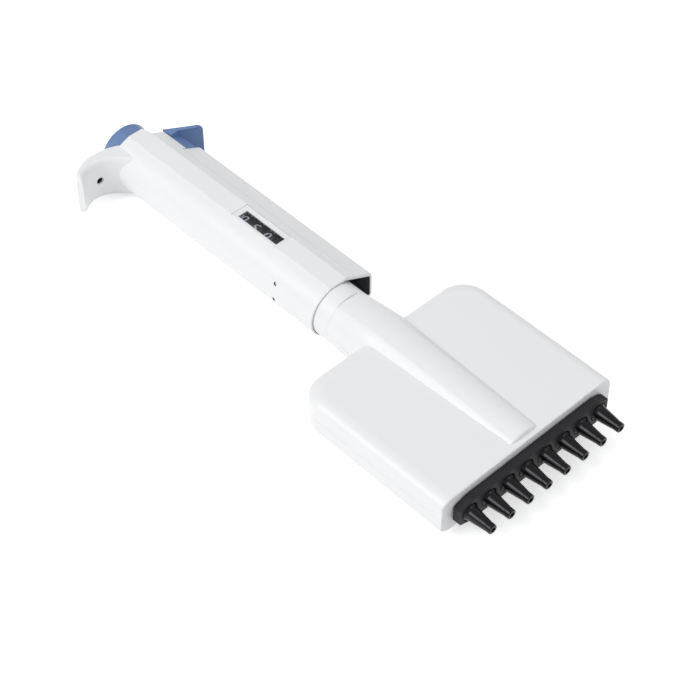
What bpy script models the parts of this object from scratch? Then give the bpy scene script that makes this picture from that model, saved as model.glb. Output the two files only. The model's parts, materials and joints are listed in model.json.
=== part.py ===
"""Eight-channel micropipette, lying on its side, in metres.

The long axis of the pipette runs along X, with the button at -X and the nozzles at +X.
The nozzle row runs along Y, the finger hook is at -Y and the ejector wing at +Y.
Pieces are placed from the nozzle ends (x = 0 on the pipette's own axis), and the frame
empty moves the whole so that its bounding box is centred over the origin and rests on z = 0.
"""

import math

import bmesh
import bpy

# Clearances
GAP = 0.0003
RUNNING_GAP = 0.00015

# Nozzle row
CHANNELS = 8
CHANNEL_PITCH = 0.009
ROW_HALF_WIDTH = 0.5 * (CHANNELS - 1) * CHANNEL_PITCH
NOZZLE_TIP_R = 0.00185
NOZZLE_BASE_R = 0.0028
NOZZLE_BORE_R = 0.0010
NOZZLE_FLANGE_R = 0.0034
NOZZLE_FLANGE_T = 0.0011
NOZZLE_SPIGOT_R = 0.0026
NOZZLE_SPIGOT_LENGTH = 0.0055

# Ejector bar
BAR_SETBACK = 0.0103
BAR_THICKNESS = 0.0035
BAR_END_MARGIN = 0.0046
BAR_HALF_WIDTH = ROW_HALF_WIDTH + BAR_END_MARGIN
BAR_HALF_HEIGHT = 0.0051
BAR_END_HALF_HEIGHT = 0.0033
BAR_CORNER = 0.0053
BAR_HOLE_R = 0.0037
EJECT_TRAVEL = 0.006

# Head
HEAD_LENGTH = 0.0702
HEAD_SIDE_MARGIN = 0.0097
HEAD_HALF_WIDTH = ROW_HALF_WIDTH + HEAD_SIDE_MARGIN
HEAD_HALF_THICKNESS = 0.0081
HEAD_CORNER_R = 0.0105
HEAD_EDGE_WIDTH = 0.0052
HEAD_EDGE_DROP = 0.0033
HEAD_WALL = 0.0018
HEAD_SIDE_WALL = 0.003
SLOT_LIP = 0.0012
NECK_LENGTH = 0.017
NECK_R = 0.0108
SPINE_R = 0.0115
SPINE_END_SETBACK = 0.0028
SPINE_FLAT_HALF_WIDTH = 0.0052
SPINE_FLAT_DROP = 0.0007

# Swivel joint
SPIGOT_R = 0.0083
SPIGOT_BORE_R = 0.0062
SPIGOT_LENGTH = 0.0122
COLLAR_PROUD = 0.0065
COLLAR_LENGTH = 0.0131
COLLAR_STEP = 0.0033
CLIP_THICKNESS = 0.001
CLIP_R = 0.009
CLIP_GROOVE_R = 0.0078

# Handle
HANDLE_LENGTH = 0.1128
HANDLE_FRONT_R = 0.01185
HANDLE_HALF_THICKNESS = 0.0116
HANDLE_SLOPE_START = 0.005
HANDLE_SLOPE_END = 0.0170
HANDLE_SLOPE_DROP = 0.0064
HANDLE_BACK = 0.018
HANDLE_BACK_CORNER_R = 0.0022
HANDLE_WALL = 0.0015
HANDLE_MOUTH_DEPTH = 0.0035
PARTING_Y = 0.0095
NOTCH_Y = 0.0115
NOTCH_LENGTH = 0.0178
BACK_STEP = 0.0045
BACK_STEP_Y = 0.0053

# Button and its well
BUTTON_R = 0.0105
BUTTON_HEIGHT = 0.0059
BUTTON_WALL = 0.0017
BUTTON_STEM_R = 0.0036
BUTTON_LIFT = 0.0006
BUTTON_EDGE = 0.0012
ROD_IN_BUTTON = 0.0035
WELL_DEPTH = 0.0065
WELL_FLOOR = 0.002
TOP_BUSH_R = 0.0042
TOP_BUSH_FLANGE_R = 0.0054
TOP_BUSH_FLANGE_T = 0.0008

# Finger hook, measured from the top end of the handle
HOOK_HALF_WIDTH = 0.0093
HOOK_RISE = 0.003
HOOK_SEAT_DEPTH = 0.0022
HOOK_EDGE_ROUND = 0.0016
HOOK_HOLE_Y = -0.0184
HOOK_HOLE_R = 0.0015
HOOK_TIP_Y = -0.0300
HOOK_BEND_R = 0.0088
HOOK_BEND_Y = -0.0208
HOOK_HOLLOW_R = 0.0078
HOOK_HOLLOW_Y = -0.0172
HOOK_INNER_R = 0.0036
HOOK_TIP_DEPTH = 0.0040
BADGE_R = 0.0078
BADGE_Y = -0.0194
BADGE_THICKNESS = 0.001
BADGE_PEG_R = 0.0012
BADGE_PEG_LENGTH = 0.0032

# Counter window, measured from the mouth of the handle
WINDOW_START = 0.0300
WINDOW_LENGTH = 0.0203
WINDOW_Y = 0.0012
WINDOW_WIDTH = 0.0042
FRAME_BORDER_X = 0.002
FRAME_BORDER_FRONT = 0.0012
FRAME_BORDER_BACK = 0.0016
FRAME_DEPTH = 0.0009
LENS_THICKNESS = 0.0005
LENS_DEPTH = 0.0006

# Number wheels
WHEEL_R = 0.0094
WHEEL_WIDTH = 0.0059
WHEEL_PITCH = 0.0062
WHEEL_RIM = 0.0012
WHEEL_HUB_WALL = 0.0012
WHEEL_RECESS = 0.0016
UNITS_WHEEL_SETBACK = 0.0496
SLEEVE_R = 0.006
SLEEVE_BORE_R = 0.00495
CHASSIS_PLATE_T = 0.0016
NUT_R = 0.0080
NUT_THICKNESS = 0.0057
SCREW_R = 0.0045
SCREW_BORE_R = 0.0022
SCREW_LENGTH = 0.0355
SCREW_SETBACK = 0.001
SCREW_CHAMFER = 0.0005
WASHER_T = 0.0006
VOLUME_RISE = 0.01275

# Plunger
ROD_R = 0.0019
STOP_COLLAR_R = 0.0044
STOP_COLLAR_T = 0.002
SHOULDER_RING_R = 0.003
SHOULDER_RING_T = 0.0011
FIRST_STOP_TRAVEL = 0.0025
BLOW_OUT_TRAVEL = 0.003
PRESS_TRAVEL = FIRST_STOP_TRAVEL + BLOW_OUT_TRAVEL
BLOW_OUT_WASHER_R = 0.0078
BLOW_OUT_WASHER_T = 0.001
CUP_LENGTH = 0.0058
CUP_R = HANDLE_FRONT_R - HANDLE_WALL - GAP
CUP_WALL = 0.0015
CUP_FLOOR = 0.0015
CUP_PIN_HOLD = 0.001
CUP_PIN_SETBACK = 0.0015
CUP_PIN_HEIGHT = 0.0202
CUP_PIN_R = 0.0006
CUP_PIN_SUNK = 0.0006
CUP_PIN_ANGLES = (26.0, -10.0)

# Springs
MAIN_SPRING_R = 0.0038
MAIN_SPRING_WIRE_R = 0.0004
MAIN_SPRING_TURNS = 6
BLOW_OUT_SPRING_R = 0.0064
BLOW_OUT_SPRING_WIRE_R = 0.0004
BLOW_OUT_SPRING_TURNS = 3
EJECTOR_SPRING_R = 0.00185
EJECTOR_SPRING_WIRE_R = 0.00025
EJECTOR_SPRING_TURNS = 7
SPRING_STEPS = 8

# Ejector
EJECTOR_ROD_R = 0.0013
EJECTOR_ROD_Y = 0.0142
EJECTOR_SPRING_ROOM = 0.02
SLIDER_INSET = 0.0011
SLIDER_SOCKET_DEPTH = 0.004
COVER_THIN_WALL = 0.0008
GUIDE_T = 0.002
GUIDE_INSET = 0.002
GUIDE_BEFORE_CUP = 0.012
SLIDER_CLEARANCE = 0.0006
GUIDE_HALF_HEIGHT = 0.0042
WING_HALF_WIDTH = 0.0080
WING_THICKNESS = 0.003
WING_REACH = 0.0268
WING_SLOPE = 0.50
WING_RISE = 0.0035
WING_CORNER_R = 0.0028
WING_GUSSET = 0.0045
YOKE_THICKNESS = 0.0025
YOKE_RING_R = 0.0044
YOKE_EYE_R = 0.0021
YOKE_ARM_HALF_WIDTH = 0.0019
TUBE_R = 0.0046
TUBE_BORE_R = 0.0031
BRIDGE_THICKNESS = 0.0025
BRIDGE_HALF_HEIGHT = 0.0042
BRIDGE_END = 0.003
PUSH_ROD_R = 0.001
PUSH_ROD_Y = 2 * CHANNEL_PITCH
PUSH_ROD_Z = 0.0032
PUSH_SOCKET_DEPTH = 0.0015

# Piston group
PISTON_R = 0.0025
PISTON_PLATE_T = 0.004
PISTON_PLATE_HALF_HEIGHT = 0.005
PISTON_PLATE_END = 0.0027
ROD_SOCKET_DEPTH = 0.002
BLOCK_LENGTH = 0.0305
CYLINDER_BORE_R = PISTON_R + GAP
CYLINDER_SPARE = 0.001
SEAL_R = 0.0034
SEAL_T = 0.0018
SEAL_PLATE_T = 0.0016

# Head screws: places from the head's rear corner and from the block's rear
SCREW_POST_R = 0.0025
SCREW_SHANK_R = 0.0008
SCREW_HEAD_R = 0.0015
SCREW_HEAD_LENGTH = 0.0013
SCREW_SEAT_Z = 0.0042
REAR_SCREW_SETBACK = 0.0058
REAR_SCREW_Y = 0.028
FRONT_SCREW_SETBACK = 0.014
FRONT_SCREW_EDGE = 0.0034

# Places along the axis, from the nozzle ends towards the button
BAR_FRONT = -BAR_SETBACK
BAR_REAR = BAR_FRONT - BAR_THICKNESS
HEAD_FRONT = BAR_REAR - GAP
HEAD_REAR = HEAD_FRONT - HEAD_LENGTH
NECK_TOP = HEAD_REAR - NECK_LENGTH
COLLAR_BOTTOM = NECK_TOP - GAP
HANDLE_BOTTOM = COLLAR_BOTTOM - COLLAR_PROUD
COLLAR_TOP = COLLAR_BOTTOM - COLLAR_LENGTH
COLLAR_SHOULDER = COLLAR_LENGTH - COLLAR_PROUD - HANDLE_MOUTH_DEPTH + GAP
CLIP_X = COLLAR_TOP + COLLAR_STEP - GAP - CLIP_THICKNESS
SPIGOT_TOP = NECK_TOP - SPIGOT_LENGTH
HANDLE_TOP = HANDLE_BOTTOM - HANDLE_LENGTH
NOTCH_BOTTOM = HANDLE_TOP + NOTCH_LENGTH
WELL_BOTTOM = HANDLE_TOP + WELL_DEPTH
BUTTON_BOTTOM = HANDLE_TOP - BUTTON_LIFT
BUTTON_TOP = BUTTON_BOTTOM - BUTTON_HEIGHT
BLOCK_FRONT = HEAD_FRONT - HEAD_WALL - GAP
BLOCK_REAR = BLOCK_FRONT - BLOCK_LENGTH
CAVITY_HALF_HEIGHT = HEAD_HALF_THICKNESS - HEAD_WALL
CAVITY_HALF_WIDTH = HEAD_HALF_WIDTH - HEAD_SIDE_WALL
BLOCK_HALF_HEIGHT = CAVITY_HALF_HEIGHT - GAP
BLOCK_HALF_WIDTH = CAVITY_HALF_WIDTH - GAP
SLOT_HALF_WIDTH = BLOCK_HALF_WIDTH - SLOT_LIP
SLOT_HALF_HEIGHT = BLOCK_HALF_HEIGHT - SLOT_LIP
SEAL_PLATE_REAR = BLOCK_REAR - GAP - SEAL_PLATE_T
UNITS_WHEEL_X = HANDLE_BOTTOM - UNITS_WHEEL_SETBACK
WINDOW_X = HANDLE_BOTTOM - WINDOW_START - 0.5 * WINDOW_LENGTH
CHASSIS_TOP = UNITS_WHEEL_X - 0.5 * WHEEL_WIDTH - GAP
CHASSIS_BOTTOM = CHASSIS_TOP + 3 * WHEEL_PITCH + WHEEL_WIDTH + 2 * GAP
NUT_BOTTOM = CHASSIS_TOP - CHASSIS_PLATE_T - GAP
SCREW_BOTTOM = CHASSIS_TOP - SCREW_SETBACK
SCREW_TOP = SCREW_BOTTOM - SCREW_LENGTH
STOP_COLLAR_TOP = SCREW_BOTTOM + GAP
END_PLATE_BOTTOM = CHASSIS_BOTTOM + GAP + CHASSIS_PLATE_T
BLOW_OUT_WASHER_TOP = END_PLATE_BOTTOM + GAP
SHOULDER_RING_BOTTOM = BLOW_OUT_WASHER_TOP - FIRST_STOP_TRAVEL - GAP
PIN_X = HANDLE_BOTTOM - CUP_PIN_HEIGHT
CUP_TOP = PIN_X - CUP_PIN_SETBACK
CUP_BOTTOM = CUP_TOP + CUP_LENGTH
YOKE_TOP = COLLAR_TOP - EJECT_TRAVEL - YOKE_THICKNESS - GAP
YOKE_BOTTOM = YOKE_TOP + YOKE_THICKNESS
BRIDGE_TOP = HEAD_REAR + HEAD_WALL + GAP
BRIDGE_BOTTOM = BRIDGE_TOP + BRIDGE_THICKNESS
PISTON_PLATE_REAR = BRIDGE_BOTTOM + EJECT_TRAVEL + VOLUME_RISE + GAP
PISTON_REAR = PISTON_PLATE_REAR + PISTON_PLATE_T
PISTON_FRONT = BLOCK_FRONT - NOZZLE_SPIGOT_LENGTH - PRESS_TRAVEL - CYLINDER_SPARE
ROD_BOTTOM = PISTON_PLATE_REAR + ROD_SOCKET_DEPTH
ROD_TOP = BUTTON_BOTTOM - ROD_IN_BUTTON
WELL_FLOOR_BOTTOM = WELL_BOTTOM + WELL_FLOOR
SLIDER_TOP = HANDLE_TOP + BACK_STEP - SLIDER_CLEARANCE
GUIDE_X = NOTCH_BOTTOM + EJECTOR_SPRING_ROOM
HOOK_BACK = HANDLE_TOP - HOOK_RISE
HOOK_SEAT_X = HANDLE_TOP + HOOK_SEAT_DEPTH
TOTAL_LENGTH = -min(BUTTON_TOP, HOOK_BACK - GAP - BADGE_THICKNESS)

# Rounding of circles
FINE = 22
MEDIUM = 16
COARSE = 12
INNER = 8


def material(name, colour, roughness, metallic=0.0, alpha=1.0):
    """One Principled material."""
    made = bpy.data.materials.new(name)
    made.use_nodes = True
    shader = made.node_tree.nodes["Principled BSDF"]
    shader.inputs["Base Color"].default_value = (*colour, 1.0)
    shader.inputs["Roughness"].default_value = roughness
    shader.inputs["Metallic"].default_value = metallic
    shader.inputs["Alpha"].default_value = alpha
    made.diffuse_color = (*colour, alpha)
    return made


def clear_scene():
    """Start from an empty scene."""
    for old in list(bpy.data.objects):
        bpy.data.objects.remove(old, do_unlink=True)


clear_scene()
parts = bpy.data.collections.new("micropipette")
cutters = bpy.data.collections.new("cutters")
bpy.context.scene.collection.children.link(parts)
bpy.context.scene.collection.children.link(cutters)

frame = bpy.data.objects.new("pipette_frame", None)
frame.location = (0.5 * TOTAL_LENGTH, 0.0, HANDLE_HALF_THICKNESS)
parts.objects.link(frame)

WHITE = material("white_plastic", (0.88, 0.89, 0.89), 0.38)
BLUE = material("blue_plastic", (0.17, 0.29, 0.53), 0.4)
BLACK = material("black_plastic", (0.012, 0.012, 0.015), 0.22)
DARK = material("dark_bar_plastic", (0.045, 0.043, 0.05), 0.5)
STEEL = material("steel", (0.62, 0.62, 0.64), 0.28, 1.0)
BRASS = material("brass", (0.75, 0.58, 0.3), 0.35, 1.0)
GREY = material("grey_plastic", (0.3, 0.31, 0.33), 0.5)
CLEAR = material("clear_plastic", (0.9, 0.95, 1.0), 0.05, 0.0, 0.3)
WHEEL_BLACK = material("wheel_plastic", (0.02, 0.02, 0.025), 0.45)


def add(name, mesh, owner, finish=None, place=(0.0, 0.0, 0.0), turn=(0.0, 0.0, 0.0)):
    """An object on the pipette's frame, in a collection, with its material."""
    made = bpy.data.objects.new(name, mesh)
    owner.objects.link(made)
    made.parent = frame
    made.location = place
    made.rotation_euler = turn
    if finish:
        mesh.materials.append(finish)
    if owner is cutters:
        made.hide_render = True
        made.display_type = "WIRE"
    return made


ALONG_X = (0.0, 0.5 * math.pi, 0.0)
SECTION_TURN = (0.5 * math.pi, 0.0, 0.5 * math.pi)


def smooth(piece, angle=32):
    """Shade round faces smooth and keep true edges sharp."""
    piece.data.shade_smooth()
    piece.data.set_sharp_from_angle(angle=math.radians(angle))


def settle(piece):
    """Put the evaluated shape into the object's own mesh and drop its modifiers."""
    bpy.context.view_layer.update()
    shape = bpy.data.meshes.new_from_object(
        piece.evaluated_get(bpy.context.evaluated_depsgraph_get()))
    piece.modifiers.clear()
    piece.data = shape
    return piece


def boolean(piece, other, operation, solver="EXACT"):
    """Cut or join with another solid, which then goes."""
    step = piece.modifiers.new(operation.lower(), "BOOLEAN")
    step.operation = operation
    step.solver = solver
    step.object = other
    settle(piece)
    bpy.data.objects.remove(other, do_unlink=True)
    return piece


def cut(piece, other):
    """Take another solid away."""
    return boolean(piece, other, "DIFFERENCE")


def join(piece, other):
    """Unite with another solid."""
    return boolean(piece, other, "UNION")


def turned(name, profile, owner=parts, finish=None, place=0.0, sides=MEDIUM, y=0.0, z=0.0):
    """A solid turned about the X direction.

    The profile is a closed loop of (distance along the axis, radius), or an open line from
    axis to axis, listed with the distance falling along its outer side.
    """
    closed = all(radius > 0.0 for _, radius in profile)
    mesh = bpy.data.meshes.new(name)
    points = [(radius, 0.0, along) for along, radius in profile]
    edges = [(i, i + 1) for i in range(len(points) - 1)]
    if closed:
        edges.append((len(points) - 1, 0))
    mesh.from_pydata(points, edges, [])
    made = add(name, mesh, owner, None, (place, y, z), ALONG_X)
    screw = made.modifiers.new("turn", "SCREW")
    screw.axis = "Z"
    screw.angle = 2.0 * math.pi
    screw.steps = sides
    screw.render_steps = sides
    screw.use_merge_vertices = True
    screw.merge_threshold = 0.00001
    settle(made)
    smooth(made)
    if finish:
        made.data.materials.append(finish)
    return made


def ring(name, start, length, outer, inner, owner=parts, finish=None, sides=MEDIUM, y=0.0, z=0.0):
    """A plain ring or, with no inner radius, a plain rod, from start towards +X."""
    if inner:
        profile = [(length, inner), (length, outer), (0.0, outer), (0.0, inner)]
    else:
        profile = [(length, 0.0), (length, outer), (0.0, outer), (0.0, 0.0)]
    return turned(name, profile, owner, finish, start, sides, y, z)


def box(name, low, high, owner=cutters, finish=None):
    """A box between two corners."""
    shape = bmesh.new()
    bmesh.ops.create_cube(shape, size=1.0)
    size = [b - a for a, b in zip(low, high)]
    middle = [0.5 * (a + b) for a, b in zip(low, high)]
    for vertex in shape.verts:
        vertex.co = [middle[i] + vertex.co[i] * size[i] for i in range(3)]
    mesh = bpy.data.meshes.new(name)
    shape.to_mesh(mesh)
    shape.free()
    return add(name, mesh, owner, finish)


def flat(name, outline, thickness, owner=parts, finish=None, place=(0.0, 0.0, 0.0), turn=(0.0, 0.0, 0.0)):
    """A flat outline given a thickness, centred on its own plane."""
    curve = bpy.data.curves.new(name + "_outline", "CURVE")
    curve.dimensions = "2D"
    curve.fill_mode = "BOTH"
    curve.extrude = 0.5 * thickness
    line = curve.splines.new("POLY")
    line.points.add(len(outline) - 1)
    for point, (u, v) in zip(line.points, outline):
        point.co = (u, v, 0.0, 1.0)
    line.use_cyclic_u = True
    drawn = bpy.data.objects.new(name + "_outline", curve)
    bpy.context.scene.collection.objects.link(drawn)
    bpy.context.view_layer.update()
    mesh = bpy.data.meshes.new_from_object(
        drawn.evaluated_get(bpy.context.evaluated_depsgraph_get()))
    shape = bmesh.new()
    shape.from_mesh(mesh)
    bmesh.ops.remove_doubles(shape, verts=shape.verts, dist=0.000001)
    bmesh.ops.recalc_face_normals(shape, faces=shape.faces)
    shape.to_mesh(mesh)
    shape.free()
    bpy.data.objects.remove(drawn, do_unlink=True)
    mesh.materials.clear()
    return add(name, mesh, owner, finish, place, turn)


def prism(name, section, start, end, owner=parts, finish=None):
    """A (y, z) section carried along X from start to end."""
    middle = 0.5 * (start + end)
    return flat(name, section, abs(end - start), owner, finish, (middle, 0.0, 0.0), SECTION_TURN)


def loft(name, rings, owner=parts, finish=None):
    """A closed body through rings of points, with flat ends. Each ring has the same count."""
    shape = bmesh.new()
    rows = [[shape.verts.new(point) for point in ring_points] for ring_points in rings]
    count = len(rows[0])
    for lower, upper in zip(rows, rows[1:]):
        for i in range(count):
            j = (i + 1) % count
            shape.faces.new((lower[i], lower[j], upper[j], upper[i]))
    shape.faces.new(rows[0])
    shape.faces.new(rows[-1])
    bmesh.ops.recalc_face_normals(shape, faces=shape.faces)
    mesh = bpy.data.meshes.new(name)
    shape.to_mesh(mesh)
    shape.free()
    return add(name, mesh, owner, finish)


def round_edges(piece, width, segments, chosen):
    """Round the edges that the chosen test picks."""
    shape = bmesh.new()
    shape.from_mesh(piece.data)
    edges = [edge for edge in shape.edges if chosen(edge)]
    bmesh.ops.bevel(shape, geom=edges, offset=width, segments=segments, profile=0.5,
                    affect="EDGES", clamp_overlap=True)
    shape.to_mesh(piece.data)
    shape.free()


def spring(name, start, length, coil_r, wire_r, turns, owner=parts, y=0.0):
    """A coil spring along X between two flats, wound as one wire."""
    curve = bpy.data.curves.new(name, "CURVE")
    curve.dimensions = "3D"
    curve.bevel_depth = wire_r
    curve.bevel_resolution = 1
    curve.use_fill_caps = True
    line = curve.splines.new("POLY")
    count = turns * SPRING_STEPS + 1
    line.points.add(count - 1)
    run = length - 2.0 * wire_r
    for i, point in enumerate(line.points):
        angle = 2.0 * math.pi * i / SPRING_STEPS
        along = start + wire_r + run * i / (count - 1)
        point.co = (along, y + coil_r * math.cos(angle), coil_r * math.sin(angle), 1.0)
    drawn = bpy.data.objects.new(name + "_wire", curve)
    bpy.context.scene.collection.objects.link(drawn)
    bpy.context.view_layer.update()
    mesh = bpy.data.meshes.new_from_object(
        drawn.evaluated_get(bpy.context.evaluated_depsgraph_get()))
    shape = bmesh.new()
    shape.from_mesh(mesh)
    bmesh.ops.remove_doubles(shape, verts=shape.verts, dist=0.000001)
    bmesh.ops.recalc_face_normals(shape, faces=shape.faces)
    shape.to_mesh(mesh)
    shape.free()
    bpy.data.objects.remove(drawn, do_unlink=True)
    mesh.materials.clear()
    made = add(name, mesh, owner, STEEL)
    smooth(made, 60)
    return made


def channel_places():
    """Y of each channel, from the hook side."""
    return [i * CHANNEL_PITCH - ROW_HALF_WIDTH for i in range(CHANNELS)]


def arc(centre, radius, start, end, steps):
    """Points on an arc, angles in degrees."""
    found = []
    for i in range(steps + 1):
        angle = math.radians(start + (end - start) * i / steps)
        found.append((centre[0] + radius * math.cos(angle), centre[1] + radius * math.sin(angle)))
    return found


def handle_section(inset):
    """Handle outline in (y, z): round front, flat sides, sloping cheeks and a narrow back."""
    radius = HANDLE_FRONT_R - inset
    top = HANDLE_HALF_THICKNESS - inset
    run = HANDLE_SLOPE_END - HANDLE_SLOPE_START
    size = math.hypot(run, HANDLE_SLOPE_DROP)
    normal = (HANDLE_SLOPE_DROP / size, run / size)
    level = normal[0] * HANDLE_SLOPE_START + normal[1] * HANDLE_HALF_THICKNESS - inset
    slope_start = (level - normal[1] * top) / normal[0]
    back = HANDLE_BACK - inset
    corner_r = max(HANDLE_BACK_CORNER_R - inset, 0.0004)
    corner_y = back - corner_r
    corner_z = (level - normal[0] * corner_y - corner_r) / normal[1]
    lean = math.degrees(math.atan2(normal[1], normal[0]))
    crease = math.degrees(math.acos(min(top / radius, 1.0)))
    front = arc((0.0, 0.0), radius, 90.0 + crease, 270.0 - crease, 18)
    upper = arc((corner_y, corner_z), corner_r, 0.0, lean, 4)
    lower = [(u, -v) for u, v in reversed(upper)]
    return [*front, (slope_start, -top), *lower, *upper, (slope_start, top)]


def hook_back(offset):
    """The back of the hook in (x, y), from near its root round the bend, moved out by offset."""
    bend_centre = (HOOK_BACK + HOOK_BEND_R, HOOK_BEND_Y)
    bend = arc(bend_centre, HOOK_BEND_R + offset, 180.0, 250.0, 8)
    return [(HANDLE_TOP - 0.72 * HOOK_RISE - offset, -0.0092), (HOOK_BACK - offset, -0.0132), *bend]


def hook_outline():
    """Finger hook in (x, y): back, rounded tip, seat and the hollow that meets the handle."""
    tip = HANDLE_TOP + HOOK_TIP_DEPTH
    seat = HOOK_SEAT_X
    back = [(HANDLE_TOP, 0.0), (HANDLE_TOP, -0.0045)]
    bend = hook_back(0.0)
    nose = [(tip, HOOK_TIP_Y), (tip + 0.0006, HOOK_TIP_Y + 0.0012), (tip + 0.0002, HOOK_TIP_Y + 0.0031)]
    inner = arc((seat + HOOK_INNER_R, HOOK_TIP_Y + 0.0074), HOOK_INNER_R, 246.0, 180.0, 4)
    hollow = arc((seat + HOOK_HOLLOW_R, HOOK_HOLLOW_Y), HOOK_HOLLOW_R, 180.0, 100.0, 7)
    root = [(hollow[-1][0] + 0.0035, -HANDLE_FRONT_R + 0.003), (hollow[-1][0] + 0.0035, 0.0)]
    return [*back, *bend, *nose, *inner, *hollow, *root]


def build_handle_body():
    """Front shell: round grip with flat sides, integral finger hook and button well."""
    body = prism("handle_body", handle_section(0.0), HANDLE_TOP, HANDLE_BOTTOM, parts, WHITE)
    hook = flat("hook_blank", hook_outline(), 2.0 * HOOK_HALF_WIDTH, cutters)
    round_edges(hook, HOOK_EDGE_ROUND, 2, lambda edge: all(
        abs(abs(v.co.z) - HOOK_HALF_WIDTH) < 1e-6 for v in edge.verts)
        and min(v.co.y for v in edge.verts) < -0.006)
    join(body, hook)
    reach = 0.05
    cut(body, box("cover_room", (NOTCH_BOTTOM, PARTING_Y, -reach), (reach, reach, reach)))
    cut(body, box("lever_room", (HANDLE_TOP - reach, NOTCH_Y, -reach), (NOTCH_BOTTOM + GAP, reach, reach)))
    cut(body, box("back_step", (HANDLE_TOP - reach, BACK_STEP_Y, -reach),
                  (HANDLE_TOP + BACK_STEP, reach, reach)))
    cut(body, prism("cavity", handle_section(HANDLE_WALL), WELL_FLOOR_BOTTOM, HANDLE_BOTTOM + 0.01, cutters))
    cut(body, ring("well", HANDLE_TOP - 0.01, 0.01 + WELL_DEPTH, BUTTON_R + GAP + RUNNING_GAP, 0.0,
                   cutters, None, FINE))
    cut(body, ring("bush_hole", HANDLE_TOP, 0.02, TOP_BUSH_R, 0.0, cutters, None, MEDIUM))
    cut(body, ring("mouth", HANDLE_BOTTOM - HANDLE_MOUTH_DEPTH, 0.02, NECK_R + GAP, 0.0,
                   cutters, None, FINE))
    cut(body, ring("hook_hole", HOOK_BACK - 0.01, 0.03, HOOK_HOLE_R, 0.0, cutters, None, COARSE,
                   HOOK_HOLE_Y))
    low_y = WINDOW_Y - 0.5 * WINDOW_WIDTH
    high_y = WINDOW_Y + 0.5 * WINDOW_WIDTH
    cut(body, box("window_hole", (WINDOW_X - 0.5 * WINDOW_LENGTH, low_y, 0.0),
                  (WINDOW_X + 0.5 * WINDOW_LENGTH, high_y, reach)))
    half = 0.5 * WINDOW_LENGTH + FRAME_BORDER_X + GAP
    pocket_floor = HANDLE_HALF_THICKNESS - FRAME_DEPTH - GAP
    cut(body, box("frame_pocket",
                  (WINDOW_X - half, low_y - FRAME_BORDER_FRONT - GAP, pocket_floor),
                  (WINDOW_X + half, high_y + FRAME_BORDER_BACK + GAP, reach)))
    for degrees in CUP_PIN_ANGLES:
        cut(body, radial_pin("pin_hole", degrees, CUP_PIN_R + RUNNING_GAP, 0.0, 2.0 * HANDLE_FRONT_R,
                             cutters))
    smooth(body)


def radial_pin(name, degrees, radius, inner, outer, owner, finish=None):
    """A short round pin that points out of the front of the handle."""
    angle = math.radians(degrees)
    shape = bmesh.new()
    bmesh.ops.create_cone(shape, cap_ends=True, segments=COARSE, radius1=radius, radius2=radius,
                          depth=outer - inner)
    mesh = bpy.data.meshes.new(name)
    shape.to_mesh(mesh)
    shape.free()
    middle = 0.5 * (inner + outer)
    place = (PIN_X, -middle * math.cos(angle), middle * math.sin(angle))
    return add(name, mesh, owner, finish, place, (0.5 * math.pi - angle, 0.0, 0.0))


def build_rear_cover():
    """Back shell over the ejector rod, with two guides for the rod."""
    cover = prism("rear_cover", handle_section(0.0), NOTCH_BOTTOM + GAP, HANDLE_BOTTOM, parts, WHITE)
    cut(cover, box("front_half", (-1.0, -0.05, -0.05), (1.0, PARTING_Y + GAP, 0.05)))
    cut(cover, prism("cover_cavity", handle_section(HANDLE_WALL), NOTCH_BOTTOM - 0.01, HANDLE_BOTTOM + 0.01,
                     cutters))
    cut(cover, prism("slider_room", handle_section(COVER_THIN_WALL), NOTCH_BOTTOM - 0.01,
                     NOTCH_BOTTOM + EJECT_TRAVEL + 0.0015, cutters))
    for x in (GUIDE_X, CUP_TOP - GUIDE_BEFORE_CUP):
        join(cover, box("guide", (x, PARTING_Y + GUIDE_INSET, -GUIDE_HALF_HEIGHT),
                        (x + GUIDE_T, HANDLE_BACK - 0.5 * HANDLE_WALL, GUIDE_HALF_HEIGHT)))
    cut(cover, ring("rod_way", NOTCH_BOTTOM, HANDLE_LENGTH, EJECTOR_ROD_R + GAP, 0.0, cutters, None,
                    COARSE, EJECTOR_ROD_Y))
    smooth(cover)


def build_ejector_lever():
    """Blue slider in the back of the handle, with the wing that the thumb pushes."""
    lever = prism("ejector_lever", handle_section(SLIDER_INSET), SLIDER_TOP, NOTCH_BOTTOM - GAP, parts, BLUE)
    cut(lever, box("lever_front", (-1.0, -0.05, -0.05), (1.0, NOTCH_Y + GAP, 0.05)))
    root_x = HANDLE_TOP + WING_RISE
    root_y = NOTCH_Y + 2.0 * GAP
    tip_x = root_x + WING_SLOPE * (WING_REACH - root_y)
    outline = [
        (root_x, root_y),
        (tip_x - 0.0004, WING_REACH - 0.0012),
        (tip_x + 0.0004, WING_REACH),
        (tip_x + 0.0016, WING_REACH - 0.0002),
        (tip_x + 0.0020, WING_REACH - 0.0016),
        (root_x + WING_THICKNESS + WING_SLOPE * 0.0086, root_y + 0.0086),
        (root_x + WING_THICKNESS + 0.5 * WING_GUSSET, root_y + 0.0056),
        (root_x + WING_THICKNESS + WING_GUSSET, root_y + 0.0046),
        (root_x + WING_THICKNESS + WING_GUSSET, root_y),
    ]
    wing = flat("wing_blank", outline, 2.0 * WING_HALF_WIDTH, cutters)
    round_edges(wing, WING_CORNER_R, 3, lambda edge: all(
        v.co.y > WING_REACH - 0.0025 for v in edge.verts)
        and abs(abs(edge.verts[0].co.z) - WING_HALF_WIDTH) < 1e-6
        and abs(edge.verts[0].co.z - edge.verts[1].co.z) < 1e-6)
    join(lever, wing)
    cut(lever, ring("rod_socket", NOTCH_BOTTOM - SLIDER_SOCKET_DEPTH, 0.02, EJECTOR_ROD_R + RUNNING_GAP, 0.0,
                    cutters, None, COARSE, EJECTOR_ROD_Y))
    smooth(lever)


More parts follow.
